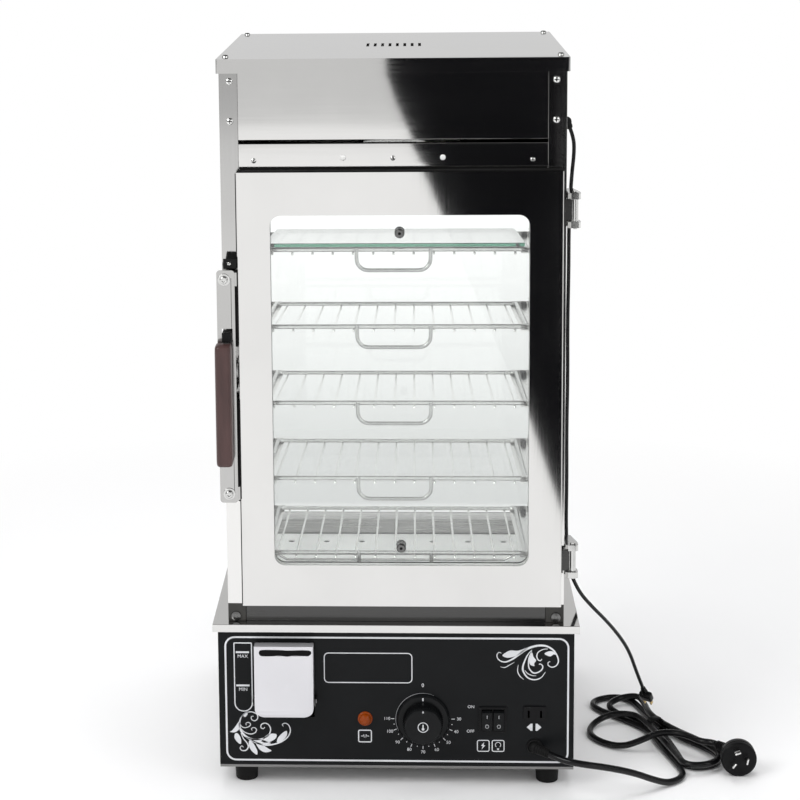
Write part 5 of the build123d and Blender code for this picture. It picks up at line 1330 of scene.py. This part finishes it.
def build_studio():
    build_world()
    build_floor()
    for name, place, size, watts in LAMPS:
        data = bpy.data.lights.new(name, "AREA")
        data.energy, data.size = watts, size
        lamp = linked(name, data)
        lamp.visible_glossy = name != "top_softbox"
        lamp.location = place
        lamp.rotation_euler = (LAMP_AIM - Vector(place)).to_track_quat("-Z", "Y").to_euler()
    # Dark cards that only reflections see
    look = Finish("dark_card")
    glow = look.node("ShaderNodeEmission", {"Color": (0.005, 0.005, 0.006, 1), "Strength": 1.0})
    look.surface(glow.outputs[0])
    for name, corners in DARK_CARDS.items():
        bm = bmesh.new()
        bm.faces.new([bm.verts.new((x, CARD_PLANE, z)) for x, z in corners])
        card = linked(name, mesh_of(name, bm))
        card.data.materials.append(look.material)
        for kind in ("camera", "diffuse", "transmission", "shadow", "volume_scatter"):
            setattr(card, "visible_" + kind, False)
    bpy.context.scene.view_settings.view_transform = "Standard"


# Operators and panel

class STEAMER_OT_camera(bpy.types.Operator):
    """Sets the camera where the photograph was taken"""
    bl_idname = "steamer.camera"
    bl_label = "Camera"

    def execute(self, context):
        set_camera()
        return {"FINISHED"}


class STEAMER_OT_cords(bpy.types.Operator):
    """Lays the mains lead with its tied hank and the lamp lead"""
    bl_idname = "steamer.cords"
    bl_label = "Cords"

    def execute(self, context):
        lay_cords()
        return {"FINISHED"}


class STEAMER_OT_sheets(bpy.types.Operator):
    """Finishes the bent sheets of the base and the cabinet"""
    bl_idname = "steamer.sheets"
    bl_label = "Sheet steel"

    def execute(self, context):
        finish_sheets()
        return {"FINISHED"}


class STEAMER_OT_feet(bpy.types.Operator):
    """Finishes the rubber feet and the black blocks under the posts"""
    bl_idname = "steamer.feet"
    bl_label = "Feet and corner blocks"

    def execute(self, context):
        finish_feet()
        return {"FINISHED"}


class STEAMER_OT_glass(bpy.types.Operator):
    """Gives the panes and the drip plate clear glass with ground edges"""
    bl_idname = "steamer.glass"
    bl_label = "Glass"

    def execute(self, context):
        finish_glass()
        return {"FINISHED"}


class STEAMER_OT_door(bpy.types.Operator):
    """Finishes the door's frames, seals and bolts, the painted shadow strips in its gaps, and the hinges"""
    bl_idname = "steamer.door"
    bl_label = "Door"

    def execute(self, context):
        finish_door()
        return {"FINISHED"}


class STEAMER_OT_handle(bpy.types.Operator):
    """Finishes the channel, the grip and the latch"""
    bl_idname = "steamer.handle"
    bl_label = "Handle and latch"

    def execute(self, context):
        finish_handle()
        return {"FINISHED"}


class STEAMER_OT_racks(bpy.types.Operator):
    """Builds the five wire racks with their handles"""
    bl_idname = "steamer.racks"
    bl_label = "Wire racks"

    def execute(self, context):
        build_racks()
        return {"FINISHED"}


class STEAMER_OT_print(bpy.types.Operator):
    """Prints the border, the scrolls, the gauge frame, the dial's numbers and the switch marks"""
    bl_idname = "steamer.print"
    bl_label = "Printed front"

    def execute(self, context):
        print_front()
        return {"FINISHED"}


class STEAMER_OT_controls(bpy.types.Operator):
    """Builds the dial, the lamp lens, the twin switch, the outlet and the glands"""
    bl_idname = "steamer.controls"
    bl_label = "Controls"

    def execute(self, context):
        build_controls()
        return {"FINISHED"}


class STEAMER_OT_filler(bpy.types.Operator):
    """Finishes the white tip-out filler box"""
    bl_idname = "steamer.filler"
    bl_label = "Filler box"

    def execute(self, context):
        finish_filler()
        return {"FINISHED"}


class STEAMER_OT_screws(bpy.types.Operator):
    """Sets the cross-recess screws of the cap, the posts, the rail, the feet and the stop block"""
    bl_idname = "steamer.screws"
    bl_label = "Screws"

    def execute(self, context):
        set_screws()
        return {"FINISHED"}


class STEAMER_OT_studio(bpy.types.Operator):
    """Builds the pale floor, the soft lamps and the cards that the steel mirrors"""
    bl_idname = "steamer.studio"
    bl_label = "Studio"

    def execute(self, context):
        build_studio()
        return {"FINISHED"}


OPERATORS = (STEAMER_OT_camera, STEAMER_OT_cords, STEAMER_OT_sheets, STEAMER_OT_feet, STEAMER_OT_glass,
             STEAMER_OT_door, STEAMER_OT_handle, STEAMER_OT_racks, STEAMER_OT_print, STEAMER_OT_controls,
             STEAMER_OT_filler, STEAMER_OT_screws, STEAMER_OT_studio)


class STEAMER_PT_panel(bpy.types.Panel):
    """Lists the steamer's sizes, colours and pieces"""
    bl_label = "Bun steamer"
    bl_idname = "STEAMER_PT_panel"
    bl_space_type = "VIEW_3D"
    bl_region_type = "UI"
    bl_category = "Steamer"

    def draw(self, context):
        for group in (sizes(), colours()):
            for name in group.__annotations__:
                self.layout.prop(group, name)
        for operator in OPERATORS:
            self.layout.operator(operator.bl_idname)


CLASSES = (SteamerSizes, SteamerColours, *OPERATORS, STEAMER_PT_panel)


def register():
    for entry in CLASSES:
        bpy.utils.register_class(entry)
    bpy.types.Scene.steamer_sizes = PointerProperty(type=SteamerSizes)
    bpy.types.Scene.steamer_colours = PointerProperty(type=SteamerColours)


def unregister():
    del bpy.types.Scene.steamer_sizes
    del bpy.types.Scene.steamer_colours
    for entry in reversed(CLASSES):
        bpy.utils.unregister_class(entry)


def main():
    register()
    make_materials()
    for operator in OPERATORS:
        group, name = operator.bl_idname.split(".")
        getattr(getattr(bpy.ops, group), name)()


if __name__ == "__main__":
    main()
